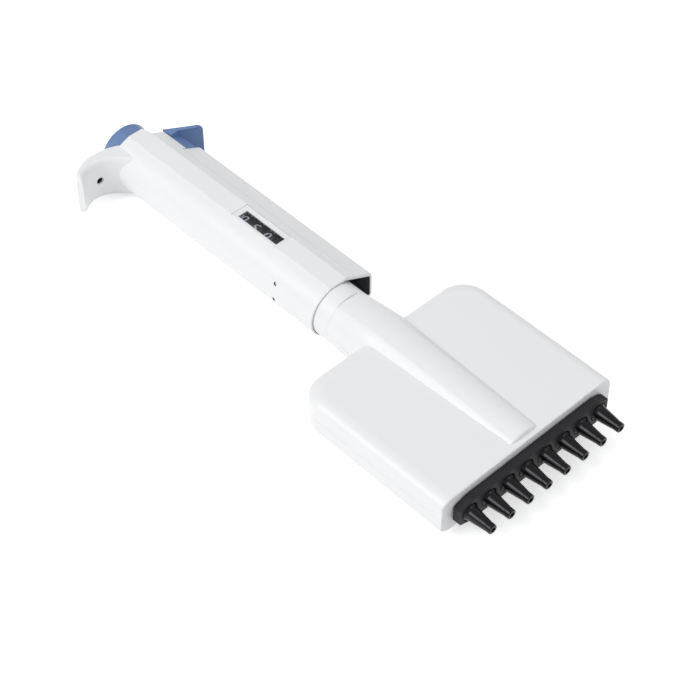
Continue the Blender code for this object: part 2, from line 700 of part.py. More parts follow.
def build_ejector_drive():
    """Rod, return spring, and the yoke that carries the push to the middle of the handle."""
    rod_top = NOTCH_BOTTOM - SLIDER_SOCKET_DEPTH + GAP
    ring("ejector_rod", rod_top, YOKE_BOTTOM - rod_top, EJECTOR_ROD_R, 0.0, parts, STEEL, COARSE,
         EJECTOR_ROD_Y)
    spring_start = NOTCH_BOTTOM
    spring("ejector_spring", spring_start, GUIDE_X - spring_start - GAP, EJECTOR_SPRING_R,
           EJECTOR_SPRING_WIRE_R, EJECTOR_SPRING_TURNS, parts, EJECTOR_ROD_Y)
    yoke = ring("ejector_yoke", YOKE_TOP, YOKE_THICKNESS, YOKE_RING_R, 0.0, parts, GREY, MEDIUM)
    arm = box("yoke_arm", (YOKE_TOP, 0.0, -YOKE_ARM_HALF_WIDTH),
              (YOKE_BOTTOM, EJECTOR_ROD_Y, YOKE_ARM_HALF_WIDTH))
    join(yoke, arm)
    join(yoke, ring("yoke_eye", YOKE_TOP, YOKE_THICKNESS, YOKE_EYE_R, 0.0, cutters, None, MEDIUM,
                    EJECTOR_ROD_Y))
    through_start = YOKE_TOP - YOKE_THICKNESS
    through = 3.0 * YOKE_THICKNESS
    cut(yoke, ring("yoke_bore", through_start, through, ROD_R + GAP, 0.0, cutters, None, MEDIUM))
    cut(yoke, ring("yoke_socket", through_start, through, EJECTOR_ROD_R + RUNNING_GAP, 0.0, cutters, None,
                   COARSE, EJECTOR_ROD_Y))
    smooth(yoke)


def button_profile():
    """Button outline from the axis in the rod's socket, round the skirt, and back over the crown."""
    height = BUTTON_HEIGHT
    inside = BUTTON_WALL + 0.0006
    socket_top = height - ROD_IN_BUTTON - GAP
    crown_edge = arc((BUTTON_EDGE, BUTTON_R - BUTTON_EDGE), BUTTON_EDGE, 90.0, 180.0, 3)
    return [
        (socket_top, 0.0),
        (socket_top, ROD_R + RUNNING_GAP),
        (height - 0.0008, ROD_R + RUNNING_GAP),
        (height - 0.0008, BUTTON_STEM_R),
        (inside, BUTTON_STEM_R),
        (inside, BUTTON_R - BUTTON_WALL),
        (height, BUTTON_R - BUTTON_WALL),
        (height, BUTTON_R),
        *crown_edge,
        (0.0, 0.4 * BUTTON_R),
        (0.0002, 0.0),
    ]


def build_plunger():
    """Button, push rod and the two collars on the rod."""
    turned("plunger_button", button_profile(), parts, BLUE, BUTTON_TOP, FINE)
    ring("plunger_rod", ROD_TOP, ROD_BOTTOM - ROD_TOP, ROD_R, 0.0, parts, STEEL, COARSE)
    ring("stop_collar", STOP_COLLAR_TOP, STOP_COLLAR_T, STOP_COLLAR_R, ROD_R + RUNNING_GAP, parts, STEEL)
    ring("shoulder_ring", SHOULDER_RING_BOTTOM - SHOULDER_RING_T, SHOULDER_RING_T, SHOULDER_RING_R,
         ROD_R + RUNNING_GAP, parts, STEEL, COARSE)


def build_top_bush():
    """Bush in the floor of the button well that guides the rod."""
    length = TOP_BUSH_FLANGE_T + GAP + WELL_FLOOR
    body_r = TOP_BUSH_R - RUNNING_GAP
    profile = [
        (length, ROD_R + RUNNING_GAP),
        (length, body_r),
        (TOP_BUSH_FLANGE_T, body_r),
        (TOP_BUSH_FLANGE_T, TOP_BUSH_FLANGE_R),
        (0.0, TOP_BUSH_FLANGE_R),
        (0.0, ROD_R + RUNNING_GAP),
    ]
    turned("top_bush", profile, parts, GREY, WELL_BOTTOM - TOP_BUSH_FLANGE_T - GAP, MEDIUM)


def build_volume_drive():
    """Volume screw, its washer and the fixed nut."""
    profile = [
        (SCREW_LENGTH, SCREW_BORE_R),
        (SCREW_LENGTH, SCREW_R - SCREW_CHAMFER),
        (SCREW_LENGTH - SCREW_CHAMFER, SCREW_R),
        (SCREW_CHAMFER, SCREW_R),
        (0.0, SCREW_R - SCREW_CHAMFER),
        (0.0, SCREW_BORE_R),
    ]
    turned("volume_screw", profile, parts, BRASS, SCREW_TOP, MEDIUM)
    ring("screw_washer", SCREW_TOP - GAP - WASHER_T, WASHER_T, SCREW_R - SCREW_CHAMFER, SCREW_BORE_R, parts,
         STEEL)
    ring("screw_nut", NUT_BOTTOM - NUT_THICKNESS, NUT_THICKNESS, NUT_R, SCREW_R + RUNNING_GAP, parts, BRASS)


def build_counter():
    """Chassis with its sleeve, number wheels, plain end ring and end plate."""
    plate_r = CUP_R
    sleeve_end = CHASSIS_BOTTOM - CHASSIS_TOP
    t = CHASSIS_PLATE_T
    profile = [
        (sleeve_end + t, SLEEVE_BORE_R),
        (sleeve_end + t, SLEEVE_R),
        (t, SLEEVE_R),
        (t, plate_r),
        (0.0, plate_r),
        (0.0, SLEEVE_BORE_R),
    ]
    turned("counter_chassis", profile, parts, GREY, CHASSIS_TOP - t, FINE)
    names = ("units_wheel", "tens_wheel", "hundreds_wheel", "blank_ring")
    for i, name in enumerate(names):
        x = UNITS_WHEEL_X + i * WHEEL_PITCH - 0.5 * WHEEL_WIDTH
        number_wheel(name, x)
    end_profile = [
        (t, SHOULDER_RING_R + GAP),
        (t, plate_r),
        (0.0, plate_r),
        (0.0, SHOULDER_RING_R + GAP),
    ]
    turned("chassis_end_plate", end_profile, parts, GREY, CHASSIS_BOTTOM + GAP, FINE)


def number_wheel(name, start):
    """A drum with a smooth face for its digits and a recessed side."""
    hub = SLEEVE_R + GAP
    profile = [
        (WHEEL_WIDTH, hub),
        (WHEEL_WIDTH, hub + WHEEL_HUB_WALL),
        (WHEEL_WIDTH - WHEEL_RECESS, hub + WHEEL_HUB_WALL),
        (WHEEL_WIDTH - WHEEL_RECESS, WHEEL_R - WHEEL_RIM),
        (WHEEL_WIDTH, WHEEL_R - WHEEL_RIM),
        (WHEEL_WIDTH, WHEEL_R),
        (0.0, WHEEL_R),
        (0.0, hub),
    ]
    turned(name, profile, parts, WHEEL_BLACK, start, MEDIUM)


def build_window():
    """Frame round the counter window, and its clear lens."""
    low_x = WINDOW_X - 0.5 * WINDOW_LENGTH
    high_x = WINDOW_X + 0.5 * WINDOW_LENGTH
    low_y = WINDOW_Y - 0.5 * WINDOW_WIDTH
    high_y = WINDOW_Y + 0.5 * WINDOW_WIDTH
    top = HANDLE_HALF_THICKNESS
    outer = box("window_frame", (low_x - FRAME_BORDER_X, low_y - FRAME_BORDER_FRONT, top - FRAME_DEPTH),
                (high_x + FRAME_BORDER_X, high_y + FRAME_BORDER_BACK, top), parts, WHITE)
    cut(outer, box("frame_opening", (low_x, low_y, 0.0), (high_x, high_y, 2.0 * top)))
    box("window_lens", (low_x + GAP, low_y + GAP, top - LENS_DEPTH - LENS_THICKNESS),
        (high_x - GAP, high_y - GAP, top - LENS_DEPTH), parts, CLEAR)


def build_blow_out():
    """Washer, stiff spring and the cup that holds both, with the pins that hold the cup."""
    ring("blow_out_washer", BLOW_OUT_WASHER_TOP, BLOW_OUT_WASHER_T, BLOW_OUT_WASHER_R, ROD_R + GAP, parts,
         STEEL)
    spring_start = BLOW_OUT_WASHER_TOP + BLOW_OUT_WASHER_T + GAP
    cup_inner_floor = CUP_BOTTOM - CUP_FLOOR
    spring("blow_out_spring", spring_start, cup_inner_floor - GAP - spring_start, BLOW_OUT_SPRING_R,
           BLOW_OUT_SPRING_WIRE_R, BLOW_OUT_SPRING_TURNS)
    profile = [
        (CUP_LENGTH, ROD_R + GAP),
        (CUP_LENGTH, CUP_R),
        (0.0, CUP_R),
        (0.0, CUP_R - CUP_WALL),
        (CUP_LENGTH - CUP_FLOOR, CUP_R - CUP_WALL),
        (CUP_LENGTH - CUP_FLOOR, ROD_R + GAP),
    ]
    cup = turned("spring_cup", profile, parts, GREY, CUP_TOP, FINE)
    for degrees in CUP_PIN_ANGLES:
        cut(cup, radial_pin("cup_hole", degrees, CUP_PIN_R + RUNNING_GAP, CUP_R - CUP_PIN_HOLD,
                            2.0 * HANDLE_FRONT_R, cutters))
    smooth(cup)
    for i, degrees in enumerate(CUP_PIN_ANGLES):
        smooth(radial_pin("cup_pin_%d" % (i + 1), degrees, CUP_PIN_R, CUP_R - CUP_PIN_HOLD + GAP,
                          HANDLE_FRONT_R - CUP_PIN_SUNK, parts, STEEL))


def build_main_spring():
    """Spring that lifts the rod against the volume screw."""
    start = STOP_COLLAR_TOP + STOP_COLLAR_T + GAP
    spring("main_spring", start, CHASSIS_BOTTOM - start, MAIN_SPRING_R, MAIN_SPRING_WIRE_R,
           MAIN_SPRING_TURNS)


def build_badge():
    """Blue round cap that follows the bent back of the hook, held by a peg in the hook's hole."""
    outer = hook_back(GAP + BADGE_THICKNESS)
    inner = hook_back(GAP)
    badge = flat("hook_badge", [*outer, *reversed(inner)], 4.0 * BADGE_R, parts, BLUE)
    boolean(badge, ring("badge_round", HOOK_BACK - 0.01, 0.03, BADGE_R, 0.0, cutters, None, FINE,
                        BADGE_Y), "INTERSECT")
    start = HOOK_BACK - GAP - 0.5 * BADGE_THICKNESS
    join(badge, ring("peg", start, BADGE_PEG_LENGTH, BADGE_PEG_R, 0.0, cutters, None, COARSE, HOOK_HOLE_Y))
    smooth(badge)


def build_swivel():
    """Collar fixed in the handle's mouth and the clip that holds the head's spigot in it."""
    profile = [
        (COLLAR_LENGTH, SPIGOT_R + RUNNING_GAP),
        (COLLAR_LENGTH, NECK_R - 0.0003),
        (COLLAR_LENGTH - 0.0003, NECK_R),
        (COLLAR_SHOULDER, NECK_R),
        (COLLAR_SHOULDER, CUP_R),
        (0.0, CUP_R),
        (0.0, CLIP_R + GAP),
        (COLLAR_STEP, CLIP_R + GAP),
        (COLLAR_STEP, SPIGOT_R + RUNNING_GAP),
    ]
    turned("swivel_collar", profile, parts, WHITE, COLLAR_TOP, FINE)
    ring("swivel_clip", CLIP_X, CLIP_THICKNESS, CLIP_R, CLIP_GROOVE_R + RUNNING_GAP, parts, STEEL)


def head_outline(inset):
    """Plan of the head, drawn in by inset at its sides and back, with round back corners."""
    half = HEAD_HALF_WIDTH - inset
    back = HEAD_REAR + inset
    corner = HEAD_CORNER_R - 0.5 * inset
    right = arc((back + corner, half - corner), corner, 90.0, 180.0, 6)
    left = [(u, -v) for u, v in reversed(right)]
    return [(HEAD_FRONT, half), *right, *left, (HEAD_FRONT, -half)]


def spine_section(x):
    """Upper half of the neck and spine at x, as (y, z): round flanks and a nearly flat crown."""
    front = HEAD_FRONT - SPINE_END_SETBACK
    if x < HEAD_REAR:
        share = (x - NECK_TOP) / (HEAD_REAR - NECK_TOP)
        radius = NECK_R + (SPINE_R - NECK_R) * share
    else:
        share = (x - HEAD_REAR) / (front - HEAD_REAR)
        radius = SPINE_R + (NECK_R - SPINE_R) * share
    blend = min(max((x - HEAD_REAR) / (front - HEAD_REAR), 0.0), 1.0)
    crease_angle = math.degrees(math.asin(SPINE_FLAT_HALF_WIDTH / radius))
    flank = arc((0.0, 0.0), radius, 0.0, 90.0 - crease_angle, 6)
    edge_y, edge_z = flank[-1]
    crown = edge_z + (SPINE_FLAT_DROP + (radius - edge_z - SPINE_FLAT_DROP) * blend) * 0.9
    middle = [(0.5 * edge_y, edge_z + 0.75 * (crown - edge_z)), (0.0, crown),
              (-0.5 * edge_y, edge_z + 0.75 * (crown - edge_z))]
    mirrored = [(-u, v) for u, v in reversed(flank)]
    return [*flank, *middle, *mirrored]


def build_head_half(name, upper):
    """One half shell of the head, with half of its neck, spine and swivel spigot."""
    split = 0.5 * GAP
    edge_steps = 3
    rings = [[(u, v, split) for u, v in head_outline(0.0)]]
    for i in range(edge_steps + 1):
        angle = 0.5 * math.pi * i / edge_steps
        inset = HEAD_EDGE_WIDTH * (1.0 - math.cos(angle))
        height = HEAD_HALF_THICKNESS - HEAD_EDGE_DROP * (1.0 - math.sin(angle))
        rings.append([(u, v, height) for u, v in head_outline(inset)])
    half = loft(name, rings, parts, WHITE)
    front = HEAD_FRONT - SPINE_END_SETBACK
    places = (NECK_TOP, HEAD_REAR, 0.5 * (HEAD_REAR + front), front)
    spine = loft("spine_blank", [[(x, u, v + split if v < split else v) for u, v in spine_section(x)]
                                 for x in places], cutters)
    join(half, spine)
    spigot = ring("spigot_blank", SPIGOT_TOP, SPIGOT_LENGTH + 0.002, SPIGOT_R, 0.0, cutters, None, FINE)
    cut(spigot, box("lower_part", (-1.0, -0.05, -0.05), (1.0, 0.05, split)))
    join(half, spigot)
    cavity_low = (HEAD_REAR + HEAD_WALL, -CAVITY_HALF_WIDTH, -0.01)
    cavity_high = (HEAD_FRONT - HEAD_WALL, CAVITY_HALF_WIDTH, CAVITY_HALF_HEIGHT)
    cavity = box("head_cavity", cavity_low, cavity_high)
    round_edges(cavity, HEAD_CORNER_R - HEAD_WALL, 3, lambda edge: all(
        v.co.x < HEAD_REAR + 0.01 for v in edge.verts)
        and abs(edge.verts[0].co.y - edge.verts[1].co.y) < 1e-6
        and abs(edge.verts[0].co.x - edge.verts[1].co.x) < 1e-6)
    cut(half, cavity)
    cut(half, ring("neck_bore", SPIGOT_TOP - 0.01, 0.01 + SPIGOT_LENGTH + NECK_LENGTH + 0.006,
                   SPIGOT_BORE_R, 0.0, cutters, None, MEDIUM))
    cut(half, ring("clip_groove", CLIP_X - GAP, CLIP_THICKNESS + 2.0 * GAP, SPIGOT_R + 0.002, CLIP_GROOVE_R,
                   cutters, None, FINE))
    cut(half, box("nozzle_slot", (HEAD_FRONT - 0.01, -SLOT_HALF_WIDTH, -0.01),
                  (HEAD_FRONT + 0.01, SLOT_HALF_WIDTH, SLOT_HALF_HEIGHT)))
    for x, y in screw_places():
        join(half, ring_z("post", x, y, split, HEAD_HALF_THICKNESS - 0.5 * HEAD_WALL, SCREW_POST_R))
        if upper:
            cut(half, ring_z("pilot", x, y, -0.01, SCREW_SEAT_Z + GAP + GAP, SCREW_SHANK_R + RUNNING_GAP))
        else:
            cut(half, ring_z("screw_way", x, y, -0.01, 0.02, SCREW_SHANK_R + GAP))
            cut(half, ring_z("head_way", x, y, SCREW_SEAT_Z, 0.02, SCREW_HEAD_R + GAP))
    if not upper:
        half.rotation_euler = (math.pi, 0.0, 0.0)
    smooth(half)
    return half


def screw_places():
    """The four head screws, as (x, y)."""
    rear = HEAD_REAR + REAR_SCREW_SETBACK
    front = BLOCK_REAR + FRONT_SCREW_SETBACK
    side = HEAD_HALF_WIDTH - FRONT_SCREW_EDGE
    return [(rear, REAR_SCREW_Y), (rear, -REAR_SCREW_Y), (front, side), (front, -side)]


def ring_z(name, x, y, low, high, radius, owner=cutters, finish=None):
    """A short round post along Z."""
    shape = bmesh.new()
    bmesh.ops.create_cone(shape, cap_ends=True, segments=COARSE, radius1=radius, radius2=radius,
                          depth=high - low)
    mesh = bpy.data.meshes.new(name)
    shape.to_mesh(mesh)
    shape.free()
    return add(name, mesh, owner, finish, (x, y, 0.5 * (low + high)))


def build_head_screws():
    """Four screws that close the head from below."""
    for i, (x, y) in enumerate(screw_places()):
        seat = -(SCREW_SEAT_Z + GAP)
        screw = ring_z("head_screw_%d" % (i + 1), x, y, seat - 0.5 * SCREW_HEAD_LENGTH, SCREW_SEAT_Z,
                       SCREW_SHANK_R, parts, STEEL)
        join(screw, ring_z("cap", x, y, seat - SCREW_HEAD_LENGTH, seat, SCREW_HEAD_R))
        smooth(screw)


def build_cylinder_block():
    """Block with eight cylinders, sockets for the nozzles and seats for the seals."""
    block = box("cylinder_block", (BLOCK_REAR, -BLOCK_HALF_WIDTH, -BLOCK_HALF_HEIGHT),
                (BLOCK_FRONT, BLOCK_HALF_WIDTH, BLOCK_HALF_HEIGHT), parts, GREY)
    for y in channel_places():
        profile = [
            (BLOCK_LENGTH + 0.002, 0.0),
            (BLOCK_LENGTH + 0.002, NOZZLE_SPIGOT_R + RUNNING_GAP),
            (BLOCK_LENGTH - NOZZLE_SPIGOT_LENGTH - GAP, NOZZLE_SPIGOT_R + RUNNING_GAP),
            (BLOCK_LENGTH - NOZZLE_SPIGOT_LENGTH - GAP, CYLINDER_BORE_R),
            (SEAL_T + 2.0 * GAP, CYLINDER_BORE_R),
            (SEAL_T + 2.0 * GAP, SEAL_R + RUNNING_GAP),
            (-0.002, SEAL_R + RUNNING_GAP),
            (-0.002, 0.0),
        ]
        cut(block, turned("cylinder", profile, cutters, None, BLOCK_REAR, COARSE, y))
    cut_push_rod_ways(block, BLOCK_REAR - GAP, BLOCK_LENGTH + 2.0 * GAP)
    notch = SCREW_POST_R + GAP
    for x, y in screw_places()[2:]:
        side = math.copysign(1.0, y)
        inner, outer = sorted((y - side * notch, side * 0.05))
        cut(block, box("post_notch", (x - notch, inner, -0.01), (x + notch, outer, 0.01)))
    smooth(block)


def push_rod_places():
    """The four push rods, as (y, z)."""
    return [(y, z) for y in (-PUSH_ROD_Y, PUSH_ROD_Y) for z in (-PUSH_ROD_Z, PUSH_ROD_Z)]


def cut_push_rod_ways(piece, start, length, clearance=RUNNING_GAP):
    """Ways for the four push rods."""
    for y, z in push_rod_places():
        cut(piece, ring("push_rod_way", start, length, PUSH_ROD_R + clearance, 0.0, cutters, None, INNER,
                        y, z))


def build_channels():
    """Nozzle and piston of each channel, and the plate with the eight seals bonded to it."""
    reach = BLOCK_FRONT - NOZZLE_SPIGOT_LENGTH
    flange_rear = -(BLOCK_FRONT + GAP)
    groove = 0.0002
    nozzle = [
        (0.0, NOZZLE_BORE_R),
        (0.0, NOZZLE_TIP_R - 0.0003),
        (-0.0004, NOZZLE_TIP_R),
        (-0.0018, NOZZLE_TIP_R),
        (-0.0019, NOZZLE_TIP_R - groove),
        (-0.0024, NOZZLE_TIP_R - groove),
        (-0.0025, NOZZLE_TIP_R + 0.0001),
        (-BAR_SETBACK, NOZZLE_BASE_R),
        (-(flange_rear - NOZZLE_FLANGE_T), NOZZLE_BASE_R + 0.0001),
        (-(flange_rear - NOZZLE_FLANGE_T), NOZZLE_FLANGE_R),
        (-flange_rear, NOZZLE_FLANGE_R),
        (-flange_rear, NOZZLE_SPIGOT_R),
        (reach + GAP, NOZZLE_SPIGOT_R),
        (reach + GAP, NOZZLE_BORE_R),
    ]
    for i, y in enumerate(channel_places()):
        number = i + 1
        turned("nozzle_%d" % number, nozzle, parts, BLACK, 0.0, COARSE, y)
        ring("piston_%d" % number, PISTON_REAR + GAP, PISTON_FRONT - PISTON_REAR - GAP, PISTON_R, 0.0,
             parts, STEEL, COARSE, y)
    plate = box("seal_plate", (SEAL_PLATE_REAR, -BLOCK_HALF_WIDTH, -BLOCK_HALF_HEIGHT),
                (BLOCK_REAR - GAP, BLOCK_HALF_WIDTH, BLOCK_HALF_HEIGHT), parts, STEEL)
    for y in channel_places():
        seal = ring("seal", BLOCK_REAR - 2.0 * GAP, SEAL_T + 2.0 * GAP, SEAL_R, 0.0, cutters, None, COARSE, y)
        boolean(plate, seal, "UNION", "MANIFOLD")
        way = ring("piston_way", SEAL_PLATE_REAR - GAP, SEAL_PLATE_T + SEAL_T + 3.0 * GAP,
                   PISTON_R + RUNNING_GAP, 0.0, cutters, None, COARSE, y)
        boolean(plate, way, "DIFFERENCE", "MANIFOLD")
    cut_push_rod_ways(plate, SEAL_PLATE_REAR - GAP, SEAL_PLATE_T + 2.0 * GAP)
    smooth(plate)


def build_piston_plate():
    """Plate that drives all eight pistons, with a socket for the rod."""
    half = ROW_HALF_WIDTH + PISTON_PLATE_END
    plate = box("piston_plate", (PISTON_PLATE_REAR, -half, -PISTON_PLATE_HALF_HEIGHT),
                (PISTON_REAR, half, PISTON_PLATE_HALF_HEIGHT), parts, GREY)
    cut_push_rod_ways(plate, PISTON_PLATE_REAR - GAP, PISTON_PLATE_T + 2.0 * GAP, GAP)
    cut(plate, ring("rod_socket", PISTON_PLATE_REAR - GAP, ROD_SOCKET_DEPTH + 2.0 * GAP,
                    ROD_R + RUNNING_GAP, 0.0, cutters, None, COARSE))
    smooth(plate)


def build_ejector_bar():
    """Bar with eight holes, the bridge with its four push rods, and the tube to the handle."""
    w, h = BAR_HALF_WIDTH, BAR_HALF_HEIGHT
    e, c = BAR_END_HALF_HEIGHT, BAR_CORNER
    outline = [(w, -e), (w, e), (w - c, h), (-w + c, h), (-w, e), (-w, -e), (-w + c, -h), (w - c, -h)]
    bar = prism("ejector_bar", outline, BAR_REAR, BAR_FRONT, parts, DARK)
    for y in channel_places():
        cut(bar, ring("nozzle_way", BAR_REAR - GAP, BAR_THICKNESS + 2.0 * GAP, BAR_HOLE_R, 0.0, cutters, None,
                      COARSE, y))
    cut_push_rod_ways(bar, BAR_REAR - GAP, PUSH_SOCKET_DEPTH + GAP)
    smooth(bar)
    half = PUSH_ROD_Y + BRIDGE_END
    bridge = box("ejector_bridge", (BRIDGE_TOP, -half, -BRIDGE_HALF_HEIGHT),
                 (BRIDGE_BOTTOM, half, BRIDGE_HALF_HEIGHT), parts, GREY)
    cut(bridge, ring("tube_way", BRIDGE_TOP - GAP, BRIDGE_THICKNESS + 2.0 * GAP, ROD_R + GAP, 0.0, cutters,
                     None, MEDIUM))
    rod_start = 0.5 * (BRIDGE_TOP + BRIDGE_BOTTOM)
    rod_end = BAR_REAR + PUSH_SOCKET_DEPTH - GAP
    for y, z in push_rod_places():
        join(bridge, ring("push_rod", rod_start, rod_end - rod_start, PUSH_ROD_R, 0.0, cutters, None, INNER,
                          y, z))
    smooth(bridge)
    tube_top = YOKE_BOTTOM + GAP
    ring("ejector_tube", tube_top, BRIDGE_TOP - GAP - tube_top, TUBE_R, TUBE_BORE_R, parts, STEEL, MEDIUM)


build_handle_body()
build_rear_cover()
build_badge()
build_window()
build_top_bush()
build_plunger()
build_volume_drive()
build_counter()
build_main_spring()
build_blow_out()
build_ejector_lever()
build_ejector_drive()
build_swivel()
build_head_half("head_upper_shell", True)
build_head_half("head_lower_shell", False)
build_head_screws()
build_cylinder_block()
build_channels()
build_piston_plate()
build_ejector_bar()
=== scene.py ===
"""Fine surfaces and finishes of the eight-channel micropipette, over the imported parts.

All sizes are in metres. The pipette lies along X, button at -X and nozzles at +X, and its own axis
is AXIS_Z above the floor. Outlines are written about that axis and lifted by AXIS_Z when they are placed.
"""

import json
import math

import bmesh
import bpy
import numpy as np
from mathutils import Matrix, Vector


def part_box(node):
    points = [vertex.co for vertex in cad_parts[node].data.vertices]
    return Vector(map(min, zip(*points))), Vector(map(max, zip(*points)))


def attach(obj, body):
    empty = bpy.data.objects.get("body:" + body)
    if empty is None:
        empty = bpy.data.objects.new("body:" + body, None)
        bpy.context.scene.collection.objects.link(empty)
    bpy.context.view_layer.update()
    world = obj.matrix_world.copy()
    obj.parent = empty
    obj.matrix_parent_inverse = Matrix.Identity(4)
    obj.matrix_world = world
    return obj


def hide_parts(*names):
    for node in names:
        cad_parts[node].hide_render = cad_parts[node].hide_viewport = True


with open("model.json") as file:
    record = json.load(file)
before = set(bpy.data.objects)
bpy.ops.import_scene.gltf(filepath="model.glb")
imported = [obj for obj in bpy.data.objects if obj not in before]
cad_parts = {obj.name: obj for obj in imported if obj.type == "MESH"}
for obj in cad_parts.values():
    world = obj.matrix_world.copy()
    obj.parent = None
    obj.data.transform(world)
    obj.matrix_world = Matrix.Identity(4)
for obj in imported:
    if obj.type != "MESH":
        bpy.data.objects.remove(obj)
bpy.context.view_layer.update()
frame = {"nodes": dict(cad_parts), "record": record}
NODES = frame["nodes"]


def span(node, axis):
    """Lowest and highest place of a node along one axis."""
    low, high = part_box(node)
    return low[axis], high[axis]


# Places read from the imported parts
TIP_X = span("nozzle_1", 0)[1]
AXIS_Z = 0.5 * sum(span("nozzle_1", 2))
NOTCH_X, HANDLE_END = span("rear_cover", 0)
HOOK_BACK = span("handle_body", 0)[0]
BAR_REAR, BAR_FRONT = span("ejector_bar", 0)
HEAD_FRONT = span("head_upper_shell", 0)[1]
HEAD_HALF_WIDTH = span("head_upper_shell", 1)[1]
COLLAR_TOP, COLLAR_END = span("swivel_collar", 0)
BUTTON_TOP, BUTTON_FOOT = span("plunger_button", 0)
CHANNELS = 8
PITCH = 0.009
BAR_END_HALF = 0.0033
BAR_CORNER = 0.0053

# Clearance between pieces, rounding of a moulded edge, and a reach for cutters that run past everything
GAP = 0.0003
EDGE = 0.0004
FAR = 0.05

# Handle
HOOK_RISE = 0.003
HANDLE_TOP = HOOK_BACK + HOOK_RISE
FRONT_R = 0.01139
FRONT_Y = -0.00031
FRONT_SLOPE = math.radians(22.0)
HALF_THICKNESS = 0.0116
SLOPE_START = 0.0056
SLOPE_END = 0.017
SLOPE_DROP = 0.0057
BACK_Y = 0.0184
BACK_R = 0.0018
CREASE_R = 0.0008
WALL = 0.0011
LIP = 0.00035
SLIDER_DRAWN_IN = 0.0007
SLIDER_ROOM_WALL = 0.00055
SLIDER_ROOM_LENGTH = 0.0075
BUSH_HOLE_R = 0.0042
PIN_R = 0.0006
PIN_GAP = 0.00015
PARTING_Y = 0.0098
PARTING = 0.00012
NOTCH_Y = 0.0115
MOUTH_DEPTH = 0.0035
MOUTH_GAP = 0.00025
NECK_R = 0.0108
WELL_R = 0.0109
WELL_DEPTH = 0.0065
WELL_FLOOR = 0.002

# Head
NECK_TOP = COLLAR_END + GAP
NECK_LENGTH = 0.017
HEAD_REAR = NECK_TOP + NECK_LENGTH
HEAD_HALF_THICKNESS = 0.0081
HEAD_CORNER_R = 0.0105
HEAD_EDGE_WIDTH = 0.0052
HEAD_EDGE_DROP = 0.0033
SPINE_R = 0.0121
SPINE_FRONT_R = 0.0103
SPINE_SETBACK = 0.0021
SPINE_END_ROUND = 0.0008
SPINE_FLAT = 0.0052
SPINE_FLAT_DROP = 0.0007
HEAD_WALL = 0.0018
HEAD_SIDE_WALL = 0.003
SLOT_LIP = 0.0012
SPIGOT_TOP = NECK_TOP - 0.0122
SPIGOT_R = 0.0083
SPIGOT_BORE_R = 0.0062
HEAD_PARTING = 0.00006
SCREW_SEAT = 0.0042
SCREW_WAY_R = 0.0018
SCREW_SHANK_R = 0.0011

# Finger hook
HOOK_HALF_WIDTH = 0.0093
HOOK_SEAT = HANDLE_TOP + 0.0022
HOOK_SEAT_ROUND = 0.003
HOOK_BACK_ROUND = 0.0006
HOOK_HOLE_Y = -0.0184
HOOK_HOLE_R = 0.0015
HOOK_HOLE_LIP = 0.0011
HOOK_HOLE_STEP = 0.0004
HOOK_TIP_ROUND = 0.0022
HOOK_STEPS = 110
BADGE_HALF_WIDTH = 0.0062
BADGE_START_Y = -0.0125
BADGE_END_Y = -0.0282
BADGE_DEPTH = 0.0008
BADGE_RISE = 0.00035
BADGE_EDGE = 0.0002

# Counter window
WINDOW_X = HANDLE_TOP + 0.07245
WINDOW_LENGTH = 0.0207
WINDOW_Y = 0.00135
WINDOW_WIDTH = 0.0045
FRAME_BORDERS = (0.0023, 0.0008, 0.0013, 0.0019)
FRAME_GAP = 0.00004
FRAME_DEPTH = 0.0009
WHEEL_R = 0.0094
DIGIT_HEIGHT = 0.0043
DIGIT_LEAN = 0.12
DIGIT_SLIMNESS = 0.86
DIGIT_RELIEF = 0.00014

# The camera that the photograph was matched to
LENS = 102.86
SENSOR = 36.0
CAMERA_PLACE = (0.3695, -0.3415, 0.5268)
CAMERA_AZIMUTH = 46.2
CAMERA_ELEVATION = 47.1
CAMERA_ROLL = 0.2

# Turned pieces
ROUND = 72
SHARP_ANGLE = 9.0


# Outlines and surfaces

def arc(centre, radius, start, end, steps):
    """Points centre + radius * (cos a, sin a), with a running evenly from start to end in degrees."""
    angle = np.radians(np.linspace(start, end, steps + 1))
    return np.column_stack((centre[0] + radius * np.cos(angle), centre[1] + radius * np.sin(angle)))


def rounded(corners, radii, step=5.0):
    """Closed outline through corners, each replaced by an arc tangent to its two sides.

    With t the turn at a corner, the arc starts radius * tan(t / 2) before it, and its centre lies on the
    inner bisector at radius / cos(t / 2).
    """
    corners = np.asarray(corners, float)
    found = []
    for i, corner in enumerate(corners):
        back = corners[i - 1] - corner
        ahead = corners[(i + 1) % len(corners)] - corner
        back /= np.linalg.norm(back)
        ahead /= np.linalg.norm(ahead)
        turn = math.pi - math.acos(np.clip(back @ ahead, -1.0, 1.0))
        if radii[i] <= 0.0 or turn < 1e-4:
            found.append(corner[None, :])
            continue
        bisector = (back + ahead) / np.linalg.norm(back + ahead)
        centre = corner + bisector * radii[i] / math.cos(0.5 * turn)
        first = corner + back * radii[i] * math.tan(0.5 * turn) - centre
        side = math.copysign(1.0, -back[0] * ahead[1] + back[1] * ahead[0])
        start = math.degrees(math.atan2(first[1], first[0]))
        steps = max(2, math.ceil(math.degrees(turn) / step))
        found.append(arc(centre, radii[i], start, start + side * math.degrees(turn), steps))
    return np.vstack(found)


def inset(outline, distance):
    """Each point moved inwards along its mean normal, by distance over the cosine of half the turn there."""
    along = np.roll(outline, -1, axis=0) - outline
    along /= np.linalg.norm(along, axis=1)[:, None]
    normal = np.column_stack((along[:, 1], -along[:, 0]))
    mean = normal + np.roll(normal, 1, axis=0)
    size = np.linalg.norm(mean, axis=1)[:, None]
    ahead = np.roll(outline, -1, axis=0)
    area = 0.5 * np.sum(outline[:, 0] * ahead[:, 1] - ahead[:, 0] * outline[:, 1])
    return outline - math.copysign(distance, area) * mean / size * (2.0 / size)


